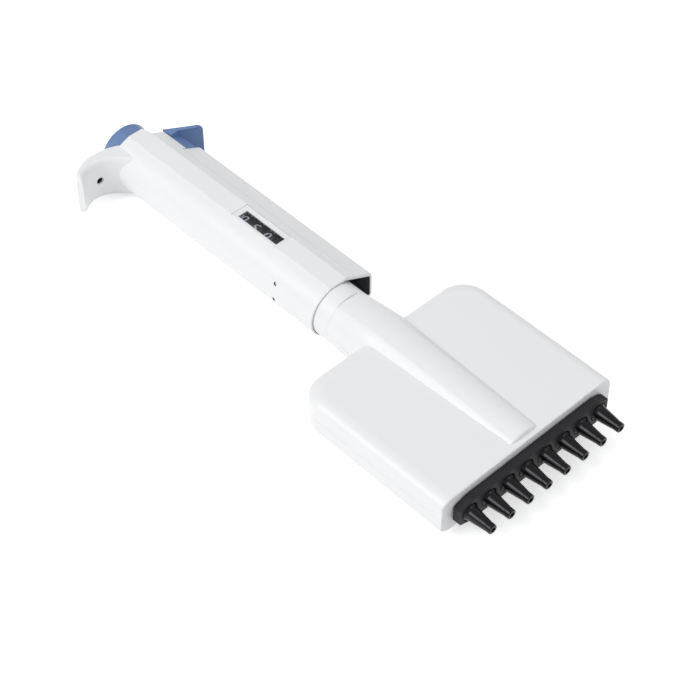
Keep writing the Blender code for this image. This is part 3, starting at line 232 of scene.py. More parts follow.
def resampled(line, count):
    """Points at even steps of length along an open line."""
    run = np.concatenate(([0.0], np.cumsum(np.linalg.norm(np.diff(line, axis=0), axis=1))))
    even = np.linspace(0.0, run[-1], count)
    return np.column_stack([np.interp(even, run, line[:, k]) for k in range(line.shape[1])])


def surface(name, grid, across=True, along=False, caps=True):
    """Mesh over a grid of points: four-sided faces between neighbours, and flat ends on an open grid."""
    rows, columns = grid.shape[:2]
    row = np.arange(rows if along else rows - 1)
    column = np.arange(columns if across else columns - 1)
    row, column = np.meshgrid(row, column, indexing="ij")
    next_row = (row + 1) % rows
    next_column = (column + 1) % columns
    quads = np.stack((row * columns + column, row * columns + next_column,
                      next_row * columns + next_column, next_row * columns + column), axis=-1)
    faces = quads.reshape(-1, 4).tolist()
    if caps and not along:
        faces.append(list(range(columns)))
        faces.append(list(range((rows - 1) * columns, rows * columns)))
    mesh = bpy.data.meshes.new(name)
    mesh.from_pydata(grid.reshape(-1, 3), [], faces)
    close(mesh)
    return mesh


def close(mesh, distance=1e-7):
    """Merge the points at poles and seams and turn all faces outwards."""
    shape = bmesh.new()
    shape.from_mesh(mesh)
    bmesh.ops.remove_doubles(shape, verts=shape.verts, dist=distance)
    bmesh.ops.dissolve_degenerate(shape, edges=shape.edges, dist=distance)
    bmesh.ops.recalc_face_normals(shape, faces=shape.faces)
    shape.to_mesh(mesh)
    shape.free()


def turned(name, profile, y=0.0, sides=ROUND, closed=True, z=0.0):
    """Surface (x, y + r cos a, z + r sin a) of a profile of (x, r) turned about the X direction."""
    profile = np.asarray(profile, float)
    angle = np.linspace(0.0, 2.0 * math.pi, sides, endpoint=False)
    radius = profile[:, 1][:, None]
    grid = np.stack((np.repeat(profile[:, 0][:, None], sides, axis=1), y + radius * np.cos(angle),
                     AXIS_Z + z + radius * np.sin(angle)), axis=-1)
    return surface(name, grid, across=True, along=closed, caps=not closed)


def rod(name, start, end, radius, y=0.0, z=0.0, sides=ROUND):
    """A plain round cutter along X."""
    return turned(name, [(start, radius), (end, radius)], y, sides, False, z)


def prism(name, outline, start, end, round_start=0.0, round_end=0.0):
    """A (y, z) outline carried along X.

    An end is rounded by rows at r (1 - cos a) from it, each drawn in by r (1 - sin a).
    """
    rows = []
    for place, radius, sign in ((start, round_start, 1.0), (end, round_end, -1.0)):
        side = []
        angles = np.radians(np.linspace(0.0, 90.0, 5)) if radius else [math.pi / 2]
        for angle in angles:
            drawn = inset(outline, radius * (1.0 - math.sin(angle))) if radius else outline
            x = place + sign * radius * (1.0 - math.cos(angle))
            side.append(np.column_stack((np.full(len(drawn), x), drawn[:, 0], drawn[:, 1] + AXIS_Z)))
        rows.extend(side if sign > 0 else reversed(side))
    return surface(name, np.stack(rows))


def block(name, low, high):
    """A box cutter between two corners, with heights about the pipette's axis."""
    outline = np.array([(low[1], low[2]), (high[1], low[2]), (high[1], high[2]), (low[1], high[2])])
    return prism(name, outline, low[0], high[0])


def upright(name, outline, low, high):
    """A plan outline (x, y) carried from low to high about the pipette's axis."""
    rows = [np.column_stack((outline, np.full(len(outline), height + AXIS_Z))) for height in (low, high)]
    return surface(name, np.stack(rows))


def combine(mesh, other, operation="DIFFERENCE"):
    """Cut or join two closed meshes."""
    first = bpy.data.objects.new("carved", mesh)
    second = bpy.data.objects.new("carver", other)
    for made in (first, second):
        bpy.context.scene.collection.objects.link(made)
    step = first.modifiers.new("carve", "BOOLEAN")
    step.operation = operation
    step.solver = "EXACT"
    step.object = second
    bpy.context.view_layer.update()
    result = bpy.data.meshes.new_from_object(
        first.evaluated_get(bpy.context.evaluated_depsgraph_get()))
    for made in (first, second):
        bpy.data.objects.remove(made, do_unlink=True)
    result.materials.clear()
    return result


def cut(mesh, *others):
    """Take closed meshes away from one, one after another."""
    for other in others:
        mesh = combine(mesh, other)
    return mesh


def finished(name, mesh, material, body, nodes=(), sharp=SHARP_ANGLE):
    """A finished piece: its shading, its material, the body it rides on and the nodes it stands for."""
    mesh.name = name
    mesh.materials.clear()
    mesh.materials.append(material)
    mesh.polygons.foreach_set("material_index", np.zeros(len(mesh.polygons), np.int32))
    mesh.shade_smooth()
    mesh.set_sharp_from_angle(angle=math.radians(sharp))
    made = bpy.data.objects.new(name, mesh)
    bpy.context.scene.collection.objects.link(made)
    even = made.modifiers.new("even_flats", "WEIGHTED_NORMAL")
    even.keep_sharp = True
    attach(made, body)
    if nodes:
        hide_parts(*nodes)
    return made


# Materials

def new_group(name, inputs, outputs):
    """An empty node group with named sockets."""
    group = bpy.data.node_groups.new(name, "ShaderNodeTree")
    for label, kind, value in inputs:
        socket = group.interface.new_socket(label, in_out="INPUT", socket_type=kind)
        socket.default_value = value
    for label, kind in outputs:
        group.interface.new_socket(label, in_out="OUTPUT", socket_type=kind)
    return group, group.nodes.new("NodeGroupInput"), group.nodes.new("NodeGroupOutput")


def math_node(tree, operation, *values):
    """The result of a Math node, with each input a socket to link from or a plain number."""
    node = tree.nodes.new("ShaderNodeMath")
    node.operation = operation
    for place, value in zip(node.inputs, values):
        if isinstance(value, float):
            place.default_value = value
        else:
            tree.links.new(value, place)
    return node.outputs[0]


def vary(group, given, result, noise, change):
    """Colour times 1 + (noise - 1/2) * change, and roughness plus (noise - 1/2) * its own change."""
    link = group.links.new
    shift = math_node(group, "SUBTRACT", noise, 0.5)
    tone = math_node(group, "MULTIPLY_ADD", shift, given.outputs[change], 1.0)
    shaded = group.nodes.new("ShaderNodeVectorMath")
    shaded.operation = "SCALE"
    link(given.outputs["Colour"], shaded.inputs[0])
    link(tone, shaded.inputs["Scale"])
    link(shaded.outputs[0], result.inputs["Colour"])
    spread = math_node(group, "MULTIPLY_ADD", shift, given.outputs["Roughness Change"],
                       given.outputs["Roughness"])
    link(spread, result.inputs["Roughness"])


def moulded_surface():
    """Moulded plastic: fine grain as a height, and slow changes of tone and roughness."""
    group, given, result = new_group(
        "moulded_surface",
        [("Colour", "NodeSocketColor", (0.8, 0.8, 0.8, 1.0)), ("Tone Change", "NodeSocketFloat", 0.05),
         ("Roughness", "NodeSocketFloat", 0.4), ("Roughness Change", "NodeSocketFloat", 0.08),
         ("Grain Scale", "NodeSocketFloat", 2500.0), ("Flow Scale", "NodeSocketFloat", 60.0)],
        [("Colour", "NodeSocketColor"), ("Roughness", "NodeSocketFloat"), ("Height", "NodeSocketFloat")])
    link = group.links.new
    where = group.nodes.new("ShaderNodeTexCoord")
    grain = group.nodes.new("ShaderNodeTexNoise")
    grain.inputs["Detail"].default_value = 3.0
    flow = group.nodes.new("ShaderNodeTexNoise")
    flow.inputs["Detail"].default_value = 2.0
    link(where.outputs["Object"], grain.inputs["Vector"])
    link(where.outputs["Object"], flow.inputs["Vector"])
    link(given.outputs["Grain Scale"], grain.inputs["Scale"])
    link(given.outputs["Flow Scale"], flow.inputs["Scale"])
    vary(group, given, result, flow.outputs["Fac"], "Tone Change")
    link(grain.outputs["Fac"], result.inputs["Height"])
    return group


def turned_metal():
    """Turned or drawn metal: fine lines round the X direction, from noise squeezed along X."""
    group, given, result = new_group(
        "turned_metal",
        [("Colour", "NodeSocketColor", (0.6, 0.6, 0.6, 1.0)), ("Line Contrast", "NodeSocketFloat", 0.15),
         ("Roughness", "NodeSocketFloat", 0.25), ("Roughness Change", "NodeSocketFloat", 0.12),
         ("Line Scale", "NodeSocketFloat", 4000.0)],
        [("Colour", "NodeSocketColor"), ("Roughness", "NodeSocketFloat"), ("Height", "NodeSocketFloat")])
    link = group.links.new
    where = group.nodes.new("ShaderNodeTexCoord")
    split = group.nodes.new("ShaderNodeSeparateXYZ")
    link(where.outputs["Object"], split.inputs[0])
    joined = group.nodes.new("ShaderNodeCombineXYZ")
    link(split.outputs["X"], joined.inputs["X"])
    lines = group.nodes.new("ShaderNodeTexNoise")
    lines.inputs["Detail"].default_value = 2.0
    link(joined.outputs[0], lines.inputs["Vector"])
    link(given.outputs["Line Scale"], lines.inputs["Scale"])
    vary(group, given, result, lines.outputs["Fac"], "Line Contrast")
    link(lines.outputs["Fac"], result.inputs["Height"])
    return group


MOULDED = moulded_surface()
TURNED = turned_metal()


def surfaced(name, group, values, bump, bump_depth, metallic=0.0, coat=0.0, coat_roughness=0.1, specular=0.5):
    """A Principled material fed by a shared group, with a bump from the group's height."""
    material = bpy.data.materials.new(name)
    material.use_nodes = True
    nodes = material.node_tree.nodes
    link = material.node_tree.links.new
    shader = nodes["Principled BSDF"]
    effect = nodes.new("ShaderNodeGroup")
    effect.node_tree = group
    for label, value in values.items():
        effect.inputs[label].default_value = value
    link(effect.outputs["Colour"], shader.inputs["Base Color"])
    link(effect.outputs["Roughness"], shader.inputs["Roughness"])
    relief = nodes.new("ShaderNodeBump")
    relief.inputs["Strength"].default_value = bump
    relief.inputs["Distance"].default_value = bump_depth
    link(effect.outputs["Height"], relief.inputs["Height"])
    link(relief.outputs["Normal"], shader.inputs["Normal"])
    shader.inputs["Metallic"].default_value = metallic
    shader.inputs["Coat Weight"].default_value = coat
    shader.inputs["Coat Roughness"].default_value = coat_roughness
    shader.inputs["Specular IOR Level"].default_value = specular
    material.diffuse_color = values["Colour"]
    return material


def plastic(name, colour, roughness, tone=0.03, grain=2600.0, bump=0.12, depth=0.00002, **more):
    """Moulded plastic of one colour."""
    return surfaced(name, MOULDED, {"Colour": (*colour, 1.0), "Tone Change": tone, "Roughness": roughness,
                                    "Grain Scale": grain}, bump, depth, **more)


def metal(name, colour, roughness, contrast=0.12):
    """Turned metal of one colour."""
    return surfaced(name, TURNED, {"Colour": (*colour, 1.0), "Line Contrast": contrast,
                                   "Roughness": roughness}, 0.05, 0.00001, metallic=1.0)


def clear_plastic(name):
    """Clear window plastic with a faint haze."""
    material = plastic(name, (0.97, 0.98, 1.0), 0.06, 0.0, 900.0, 0.02)
    shader = material.node_tree.nodes["Principled BSDF"]
    shader.inputs["Transmission Weight"].default_value = 1.0
    shader.inputs["IOR"].default_value = 1.3
    return material


WHITE = plastic("white_moulding", (0.855, 0.864, 0.868), 0.36, 0.012, 3000.0, 0.10)
BLUE = plastic("blue_moulding", (0.150, 0.243, 0.455), 0.44, 0.05, 2600.0, 0.10, specular=0.35)
BLACK = plastic("black_polished_nozzle", (0.006, 0.006, 0.008), 0.20, 0.2, 1800.0, 0.05, specular=0.3)
BAR = plastic("dark_grained_bar", (0.019, 0.017, 0.020), 0.55, 0.6, 1300.0, 0.5, 0.00008, specular=0.3)
GREY = plastic("grey_inner_plastic", (0.30, 0.31, 0.33), 0.5, 0.06, 1800.0, 0.15)
# Painted shade: a near-black material laid on the inner faces of the white shells and in the hook's hole,
# darker than the white plastic they are made of.
PAINTED_SHADE = plastic("painted_shade_inner_faces", (0.085, 0.085, 0.09), 0.6, 0.06, 1800.0, 0.15)
WHEEL = plastic("dark_wheel_plastic", (0.040, 0.037, 0.041), 0.42, 0.25, 1500.0, 0.25)
DIGIT = plastic("pale_digit_paint", (0.86, 0.89, 1.0), 0.5, 0.05, 3000.0, 0.1)
STEEL = metal("turned_steel", (0.62, 0.62, 0.64), 0.26)
BRASS = metal("turned_brass", (0.75, 0.58, 0.30), 0.3)
CLEAR = clear_plastic("clear_window_plastic")


# Handle

def handle_outline(drawn_in=0.0):
    """Handle section (y, z): an arc in front, narrow slopes, flats at the half thickness, and sloping cheeks.

    Each side is the outer one moved in by drawn_in. The arc stands about (FRONT_Y, 0). The front slopes are
    its tangents at FRONT_SLOPE, and the cheeks are the line n . (y, z) = level.
    """
    radius = FRONT_R - drawn_in
    top = HALF_THICKNESS - drawn_in
    run = SLOPE_END - SLOPE_START
    normal = np.array((SLOPE_DROP, run)) / math.hypot(run, SLOPE_DROP)
    level = normal @ (SLOPE_START, HALF_THICKNESS) - drawn_in
    start_y = (level - normal[1] * top) / normal[0]
    back_y = BACK_Y - drawn_in
    back_z = (level - normal[0] * back_y) / normal[1]
    reach = radius - math.sin(FRONT_SLOPE) * FRONT_Y
    crease_y = (math.cos(FRONT_SLOPE) * top - reach) / math.sin(FRONT_SLOPE)
    slope = math.degrees(FRONT_SLOPE)
    front = arc((FRONT_Y, 0.0), radius, 90.0 + slope, 270.0 - slope, 46)
    corners = [front[-1], (crease_y, -top), (start_y, -top), (back_y, -back_z), (back_y, back_z),
               (start_y, top), (crease_y, top), front[0]]
    crease_r = max(CREASE_R - drawn_in, 0.0002)
    back_r = max(BACK_R - drawn_in, 0.0004)
    back = rounded(corners, [0.0, crease_r, crease_r, back_r, back_r, crease_r, crease_r, 0.0])
    return np.vstack((front, back[1:-1]))


def curve_through(points, count):
    """Points at even steps along a Catmull-Rom curve.

    Between p1 and p2 the curve is half of 2 p1 + (p2 - p0) t + (2 p0 - 5 p1 + 4 p2 - p3) t^2
    + (3 p1 - p0 - 3 p2 + p3) t^3, with the end points repeated.
    """
    points = np.asarray(points, float)
    padded = np.vstack((2.0 * points[0] - points[1], points, 2.0 * points[-1] - points[-2]))
    p0, p1, p2, p3 = (padded[k:len(padded) - 3 + k, None, :] for k in range(4))
    t = np.linspace(0.0, 1.0, 12, endpoint=False)[None, :, None]
    line = 0.5 * (2.0 * p1 + (p2 - p0) * t + (2.0 * p0 - 5.0 * p1 + 4.0 * p2 - p3) * t ** 2
                  + (3.0 * p1 - p0 - 3.0 * p2 + p3) * t ** 3)
    return resampled(np.vstack((line.reshape(-1, 2), points[-1:])), count)


def hook_lines(count):
    """Back and seat of the finger hook in (x, y), from its root to its tip, at matching steps."""
    top = HANDLE_TOP
    back = [(top + 0.0006, -0.0030), (top - 0.0006, -0.0060), (top - 0.0019, -0.0090),
            (top - 0.0029, -0.0120), (top - 0.0033, -0.0157), (top - 0.0032, -0.0192),
            (top - 0.0024, -0.0228), (top - 0.0006, -0.0262), (top + 0.0013, -0.0287),
            (top + 0.0026, -0.0298)]
    seat = [(top + 0.0165, -0.0030), (top + 0.0118, -0.0063), (top + 0.0084, -0.0090),
            (top + 0.0059, -0.0110), (top + 0.0039, -0.0133), (top + 0.0023, -0.0162),
            (top + 0.0018, -0.0187), (top + 0.0018, -0.0217), (top + 0.0023, -0.0243),
            (top + 0.0035, -0.0264), (top + 0.0051, -0.0287)]
    return curve_through(back, count), curve_through(seat, count)


def hook_mesh():
    """Finger hook: a rounded section that spans from the back line to the seat line at each step.

    Its half width is constant and falls over the last HOOK_TIP_ROUND on a quarter circle, which rounds the
    corners of the tip.
    """
    back, seat = hook_lines(HOOK_STEPS)
    run = np.concatenate(([0.0], np.cumsum(np.linalg.norm(np.diff(back, axis=0), axis=1))))
    left = np.clip((run[-1] - run) / HOOK_TIP_ROUND, 0.0, 1.0)
    half = HOOK_HALF_WIDTH - HOOK_TIP_ROUND * (1.0 - np.sqrt(1.0 - (1.0 - left) ** 2))
    rows = []
    for i in range(HOOK_STEPS):
        depth = np.linalg.norm(seat[i] - back[i])
        seat_r = min(HOOK_SEAT_ROUND, 0.62 * depth)
        back_r = min(HOOK_BACK_ROUND, 0.3 * depth)
        corners = [(0.0, -half[i]), (depth, -half[i]), (depth, half[i]), (0.0, half[i])]
        section = rounded(corners, [back_r, seat_r, seat_r, back_r], 9.0)
        toward = (seat[i] - back[i]) / depth
        plan = back[i] + section[:, :1] * toward
        rows.append(np.column_stack((plan, section[:, 1] + AXIS_Z)))
    return surface("hook", np.stack(rows))


def badge_mesh(extra):
    """Oval inlay that follows the hook's back, grown by extra on all sides where it serves as a cutter.

    At the share u of its length, from -1 to 1, its half width is BADGE_HALF_WIDTH (1 - u^4)^(1/4).
    """
    back = hook_lines(HOOK_STEPS)[0]
    line = back[(back[:, 1] < BADGE_START_Y) & (back[:, 1] > BADGE_END_Y)]
    along = np.gradient(line, axis=0)
    along /= np.linalg.norm(along, axis=1)[:, None]
    out = np.column_stack((along[:, 1], -along[:, 0]))
    share = np.linspace(-0.995, 0.995, len(line))
    half = (BADGE_HALF_WIDTH + extra) * (1.0 - share ** 4) ** 0.25
    low = -BADGE_DEPTH - extra
    high = BADGE_RISE + 10.0 * extra
    profile = np.array([(-1.0, low), (1.0, low), (1.0, high - BADGE_EDGE), (0.96, high), (-0.96, high),
                        (-1.0, high - BADGE_EDGE)])
    rows = [np.column_stack((line[i] + out[i] * profile[:, 1:], profile[:, 0] * half[i] + AXIS_Z))
            for i in range(len(line))]
    return surface("badge", np.stack(rows))


def hook_badge():
    """The inlay on the hook's back."""
    finished("hook_badge_inlay", badge_mesh(0.0), BLUE, "handle", ["hook_badge"])


def shade_inside(made, start, end):
    """Paint shade, as a dark second material, on faces inside the wall from start to end along X, and in the
    hook's hole.

    A face is inside where its centre is drawn in from the front arc, the flats, the cheeks and the back by
    more than a share of the wall.
    """
    mesh = made.data
    mesh.materials.append(PAINTED_SHADE)
    centre = np.empty(3 * len(mesh.polygons))
    mesh.polygons.foreach_get("center", centre)
    x, y, z = centre.reshape(-1, 3).T
    z = np.abs(z - AXIS_Z)
    margin = 0.4 * WALL
    run = SLOPE_END - SLOPE_START
    cheek = (SLOPE_DROP * y + run * z) / math.hypot(run, SLOPE_DROP)
    level = (SLOPE_DROP * SLOPE_START + run * HALF_THICKNESS) / math.hypot(run, SLOPE_DROP)
    inside = ((x > start) & (x < end) & (z < HALF_THICKNESS - margin) & (cheek < level - margin)
              & (y < BACK_Y - margin) & ((y > 0.0) | (np.hypot(y - FRONT_Y, z) < FRONT_R - margin)))
    hole_r = HOOK_HOLE_R + HOOK_HOLE_STEP + 0.0001
    in_hole = (x < HOOK_SEAT - HOOK_HOLE_LIP) & (np.hypot(y - HOOK_HOLE_Y, z) < hole_r)
    # Faces inside the wall and in the hook's hole take the painted shade material.
    mesh.polygons.foreach_set("material_index", (inside | in_hole).astype(np.int32))


def label_recess():
    """Cutter for the shallow rounded field on the cheek, laid out along the cheek's own slope."""
    length = math.hypot(SLOPE_END - SLOPE_START, SLOPE_DROP)
    along = np.array((SLOPE_END - SLOPE_START, -SLOPE_DROP)) / length
    out = np.array((SLOPE_DROP, SLOPE_END - SLOPE_START)) / length
    start = HANDLE_END - 0.0195
    end = HANDLE_END - 0.0024
    low = 0.0008
    high = 0.0040
    outline = rounded([(start, low), (end, low), (end, high), (start, high)], [0.001] * 4, 15.0)
    foot = np.array((SLOPE_START, HALF_THICKNESS)) + outline[:, 1:] * along
    rows = [np.column_stack((outline[:, 0], foot + out * height)) + (0.0, 0.0, AXIS_Z)
            for height in (-0.0001, 0.0005)]
    return surface("label_recess", np.stack(rows))


def handle_body():
    """Front shell: section carried along X, hook joined on, then room for cover, lever, button and window."""
    mesh = prism("handle", handle_outline(), HANDLE_TOP, HANDLE_END, 0.0005, LIP)
    mesh = combine(mesh, hook_mesh(), "UNION")
    low_y = WINDOW_Y - 0.5 * WINDOW_WIDTH
    high_y = WINDOW_Y + 0.5 * WINDOW_WIDTH
    half_x = 0.5 * WINDOW_LENGTH
    upper, lower, front, back = FRAME_BORDERS
    pocket = HALF_THICKNESS - FRAME_DEPTH - GAP
    slant = np.array([(HANDLE_TOP - 0.01, 0.0044), (HANDLE_TOP + 0.0001, 0.0044),
                      (HANDLE_TOP + 0.005, 0.0060), (HANDLE_TOP + 0.0045, 0.0120),
                      (HANDLE_TOP + 0.0040, FAR), (HANDLE_TOP - 0.01, FAR)])
    mouth_r = NECK_R + MOUTH_GAP
    mouth = [(HANDLE_END - MOUTH_DEPTH, 0.0), (HANDLE_END - MOUTH_DEPTH, mouth_r),
             (HANDLE_END + 0.01, mouth_r), (HANDLE_END + 0.01, 0.0)]
    well = [(HANDLE_TOP - 0.01, 0.0), (HANDLE_TOP - 0.01, WELL_R + EDGE), (HANDLE_TOP, WELL_R + EDGE),
            (HANDLE_TOP + EDGE, WELL_R), (HANDLE_TOP + WELL_DEPTH, WELL_R), (HANDLE_TOP + WELL_DEPTH, 0.0)]
    under_lip = HOOK_SEAT - HOOK_HOLE_LIP
    wide_r = HOOK_HOLE_R + HOOK_HOLE_STEP
    hole = [(HOOK_BACK - 0.01, wide_r), (under_lip, wide_r), (under_lip, HOOK_HOLE_R),
            (HOOK_SEAT + 0.01, HOOK_HOLE_R)]
    mesh = cut(
        mesh,
        block("cover_room", (NOTCH_X - GAP, PARTING_Y, -FAR), (FAR, FAR, FAR)),
        block("lever_room", (HANDLE_TOP - FAR, NOTCH_Y, -FAR), (NOTCH_X, FAR, FAR)),
        upright("back_step", slant, -FAR, FAR),
        prism("cavity", handle_outline(WALL), HANDLE_TOP + WELL_DEPTH + WELL_FLOOR, HANDLE_END + 0.01),
        turned("well", well, closed=False),
        rod("bush_hole", HANDLE_TOP, HANDLE_TOP + 0.02, BUSH_HOLE_R),
        turned("mouth", mouth, closed=False),
        turned("hook_hole", hole, HOOK_HOLE_Y, 40, False),
        badge_mesh(0.00004),
        label_recess(),
        block("window_hole", (WINDOW_X - half_x, low_y, 0.0), (WINDOW_X + half_x, high_y, FAR)),
        block("frame_pocket", (WINDOW_X - half_x - upper - FRAME_GAP, low_y - front - FRAME_GAP, pocket),
              (WINDOW_X + half_x + lower + FRAME_GAP, high_y + back + FRAME_GAP, FAR)),
    )
    for node in ("cup_pin_1", "cup_pin_2"):
        mesh = cut(mesh, pin_hole(node))
    made = finished("handle_body_shell", mesh, WHITE, "handle", ["handle_body"])
    # Painted shade: the inner faces of the shell and the hook's hole take the dark material.
    shade_inside(made, HANDLE_TOP + 0.02, HANDLE_END - 0.0002)


def pin_hole(node):
    """A round hole that points out of the axis through a pin, a little wider than the pin."""
    low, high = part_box(node)
    middle = 0.5 * (low + high)
    y = middle[1]
    z = middle[2] - AXIS_Z
    radius = PIN_R + PIN_GAP
    angle = math.atan2(z, y)
    out = np.array((math.cos(angle), math.sin(angle)))
    side = np.array((-out[1], out[0]))
    turn = np.linspace(0.0, 2.0 * math.pi, 32, endpoint=False)
    rows = []
    for reach in (0.004, 0.02):
        ring = out * reach + side * (radius * np.sin(turn))[:, None]
        rows.append(np.column_stack((middle[0] + radius * np.cos(turn), ring[:, 0], ring[:, 1] + AXIS_Z)))
    return surface("pin_hole", np.stack(rows))


def rear_cover():
    """Back shell behind the parting plane, hollow, with a thin upper end for the ejector's slider."""
    mesh = prism("cover", handle_outline(), NOTCH_X, HANDLE_END, 0.0002, LIP)
    mesh = cut(
        mesh,
        block("front", (-1.0, -FAR, -FAR), (1.0, PARTING_Y + PARTING, FAR)),
        prism("hollow", handle_outline(WALL), NOTCH_X - 0.01, HANDLE_END + 0.01),
        prism("slider_room", handle_outline(SLIDER_ROOM_WALL), NOTCH_X - 0.01, NOTCH_X + SLIDER_ROOM_LENGTH),
    )
    made = finished("rear_cover_shell", mesh, WHITE, "handle", ["rear_cover"])
    # Painted shade: the inner faces of the cover take the dark material.
    shade_inside(made, NOTCH_X + 0.001, HANDLE_END - 0.0002)


def window_frame():
    """Frame: a profile of (share, height) carried round the window.

    At a share of the way out, each side of the rectangle has moved out by that share of its own border.
    """
    profile = [(0.0, -0.0009), (0.0, -0.00026), (0.06, -0.00012), (0.14, -0.00004), (0.28, -0.00002),
               (0.32, -0.00016), (0.38, -0.00016), (0.42, -0.00002), (0.94, 0.0), (0.98, -0.00003),
               (1.0, -0.00008), (1.0, -0.0009)]
    upper, lower, front, back = FRAME_BORDERS
    half = 0.5 * WINDOW_LENGTH
    rows = []
    for share, height in profile:
        low_x = WINDOW_X - half - upper * share
        high_x = WINDOW_X + half + lower * share
        low_y = WINDOW_Y - 0.5 * WINDOW_WIDTH - front * share
        high_y = WINDOW_Y + 0.5 * WINDOW_WIDTH + back * share
        corners = [(low_x, low_y), (high_x, low_y), (high_x, high_y), (low_x, high_y)]
        outline = rounded(corners, [0.0002 + 0.0002 * share] * 4, 15.0)
        rows.append(np.column_stack((outline, np.full(len(outline), HALF_THICKNESS + height + AXIS_Z))))
    mesh = surface("frame", np.stack(rows), along=True)
    finished("window_frame_moulding", mesh, WHITE, "handle", ["window_frame"], 25.0)


def swivel_collar():
    """Collar in the handle's mouth, with a slightly rounded outer end close to the neck."""
    shoulder = COLLAR_TOP + 0.0034
    clip_room = COLLAR_TOP + 0.0033
    clip_room_r = 0.0093
    sleeve_r = 0.01005
    inner = SPIGOT_R + 0.00015
    end = NECK_TOP - 0.00005
    edge = 0.00005
    lip = arc((end - edge, NECK_R - edge), edge, 0.0, 90.0, 3)
    profile = [(end, inner), *lip, (shoulder, NECK_R), (shoulder, sleeve_r), (COLLAR_TOP, sleeve_r),
               (COLLAR_TOP, clip_room_r), (clip_room, clip_room_r), (clip_room, inner)]
    mesh = turned("collar", profile, sides=120)
    finished("swivel_collar_ring", mesh, WHITE, "handle", ["swivel_collar"], 25.0)


def plunger_button():
    """Button: a round rim over a grip of eight shallow flats.

    The radius in the grip is the smaller of the round radius and that of an octagon at the same angle, and it
    blends to the full circle at the rim.
    """
    radius = 0.0109
    wall = 0.0017
    edge = 0.0006
    height = BUTTON_FOOT - BUTTON_TOP
    crown = arc((BUTTON_TOP + edge, radius - edge), edge, 180.0, 90.0, 8)
    outer = [(BUTTON_TOP + 0.0002, 0.0), (BUTTON_TOP, 0.4 * radius), *crown]
    for share in (0.06, 0.14, 0.3, 0.6, 0.9, 1.0):
        outer.append((BUTTON_TOP + edge + (height - edge) * share, radius))
    roof = BUTTON_TOP + 0.0023
    stem_r = 0.0036
    stem_end = BUTTON_FOOT - 0.0008
    rod_hole_r = 0.00205
    rod_hole_end = BUTTON_FOOT - 0.0038
    inner = [(BUTTON_FOOT, radius - wall), (roof, radius - wall), (roof, stem_r), (stem_end, stem_r),
             (stem_end, rod_hole_r), (rod_hole_end, rod_hole_r), (rod_hole_end, 0.0)]
    profile = np.array(outer + inner)
    sides = 192
    angle = np.linspace(0.0, 2.0 * math.pi, sides, endpoint=False)
    first_corner = math.radians(100.0)
    within = (angle - first_corner + 0.25 * math.pi) % (0.25 * math.pi) - 0.125 * math.pi
    octagon = math.cos(math.pi / 8.0) / np.cos(within)
    depth = np.clip((profile[:, 0] - BUTTON_TOP - edge) / 0.0008, 0.0, 1.0)
    outside = np.array([1.0] * len(outer) + [0.0] * len(inner)) * depth
    scale = 1.0 + 0.5 * outside[:, None] * (octagon[None, :] - 1.0)
    radii = profile[:, 1][:, None] * scale
    grid = np.stack((np.repeat(profile[:, 0][:, None], sides, axis=1), radii * np.cos(angle),
                     AXIS_Z + radii * np.sin(angle)), axis=-1)
    mesh = surface("button", grid, caps=False)
    finished("plunger_button_cap", mesh, BLUE, "plunger", ["plunger_button"], 7.0)


def ejector_lever():
    """Slider in the back of the handle, hollow for its spring, and a wing that leaves it by a hollow curve.

    The wing is its (x, y) outline carried along Z. Over a corner's width at each side its tip falls on a
    quarter circle, and the fall is shared out over the outline's outer part.
    """
    low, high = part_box("ejector_lever")
    slider = prism("slider", handle_outline(SLIDER_DRAWN_IN), low[0], NOTCH_X - GAP, 0.0003, 0.0003)
    spring_low, spring_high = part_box("ejector_spring")
    spring_r = 0.5 * (spring_high[2] - spring_low[2]) + GAP
    spring_y = 0.5 * (spring_low[1] + spring_high[1])
    slider = cut(slider, block("front", (-1.0, -FAR, -FAR), (1.0, NOTCH_Y + GAP, FAR)),
                 rod("spring_room", NOTCH_X - 0.008, NOTCH_X + 0.01, spring_r, spring_y))
    root_x = HANDLE_TOP + 0.0035
    root_y = NOTCH_Y + 0.0006
    reach = high[1] - 0.0010
    slope = 0.5
    tip_x = root_x + slope * (reach - root_y)
    corners = [(root_x - 0.0002, root_y), (tip_x - 0.0002, reach), (tip_x + 0.0013, reach),
               (root_x + 0.0026 + slope * 0.0030, root_y + 0.0030), (root_x + 0.0046, root_y)]
    outline = rounded(corners, [0.0, 0.0006, 0.0006, 0.0035, 0.0], 6.0)
    half = 0.0086
    corner = 0.0034
    outer_part = 0.006
    rows = []
    for z in np.concatenate((-half + corner * (1.0 - np.cos(np.linspace(0.0, 0.5 * math.pi, 14))),
                             half - corner * (1.0 - np.cos(np.linspace(0.5 * math.pi, 0.0, 14))))):
        share = np.clip((abs(z) - half + corner) / corner, 0.0, 1.0)
        fall = corner * (1.0 - math.sqrt(1.0 - share ** 2))
        above = outline[:, 1] - reach + outer_part
        y = np.where(above > 0.0, reach - outer_part + above * (outer_part - fall) / outer_part,
                     outline[:, 1])
        rows.append(np.column_stack((outline[:, 0], y, np.full(len(outline), z + AXIS_Z))))
    wing = surface("wing", np.stack(rows))
    mesh = combine(slider, wing, "UNION")
    finished("ejector_lever_wing", mesh, BLUE, "ejector", ["ejector_lever"])


# Head

def head_plan(drawn_in):
    """Plan of the head (x, y): straight sides, round back corners and a straight front."""
    half = HEAD_HALF_WIDTH - drawn_in
    back = HEAD_REAR + drawn_in
    corner = HEAD_CORNER_R - 0.5 * drawn_in
    right = arc((back + corner, half - corner), corner, 90.0, 180.0, 22)
    left = right[::-1] * (1.0, -1.0)
    return np.vstack(([(HEAD_FRONT, half)], right, left, [(HEAD_FRONT, -half)]))


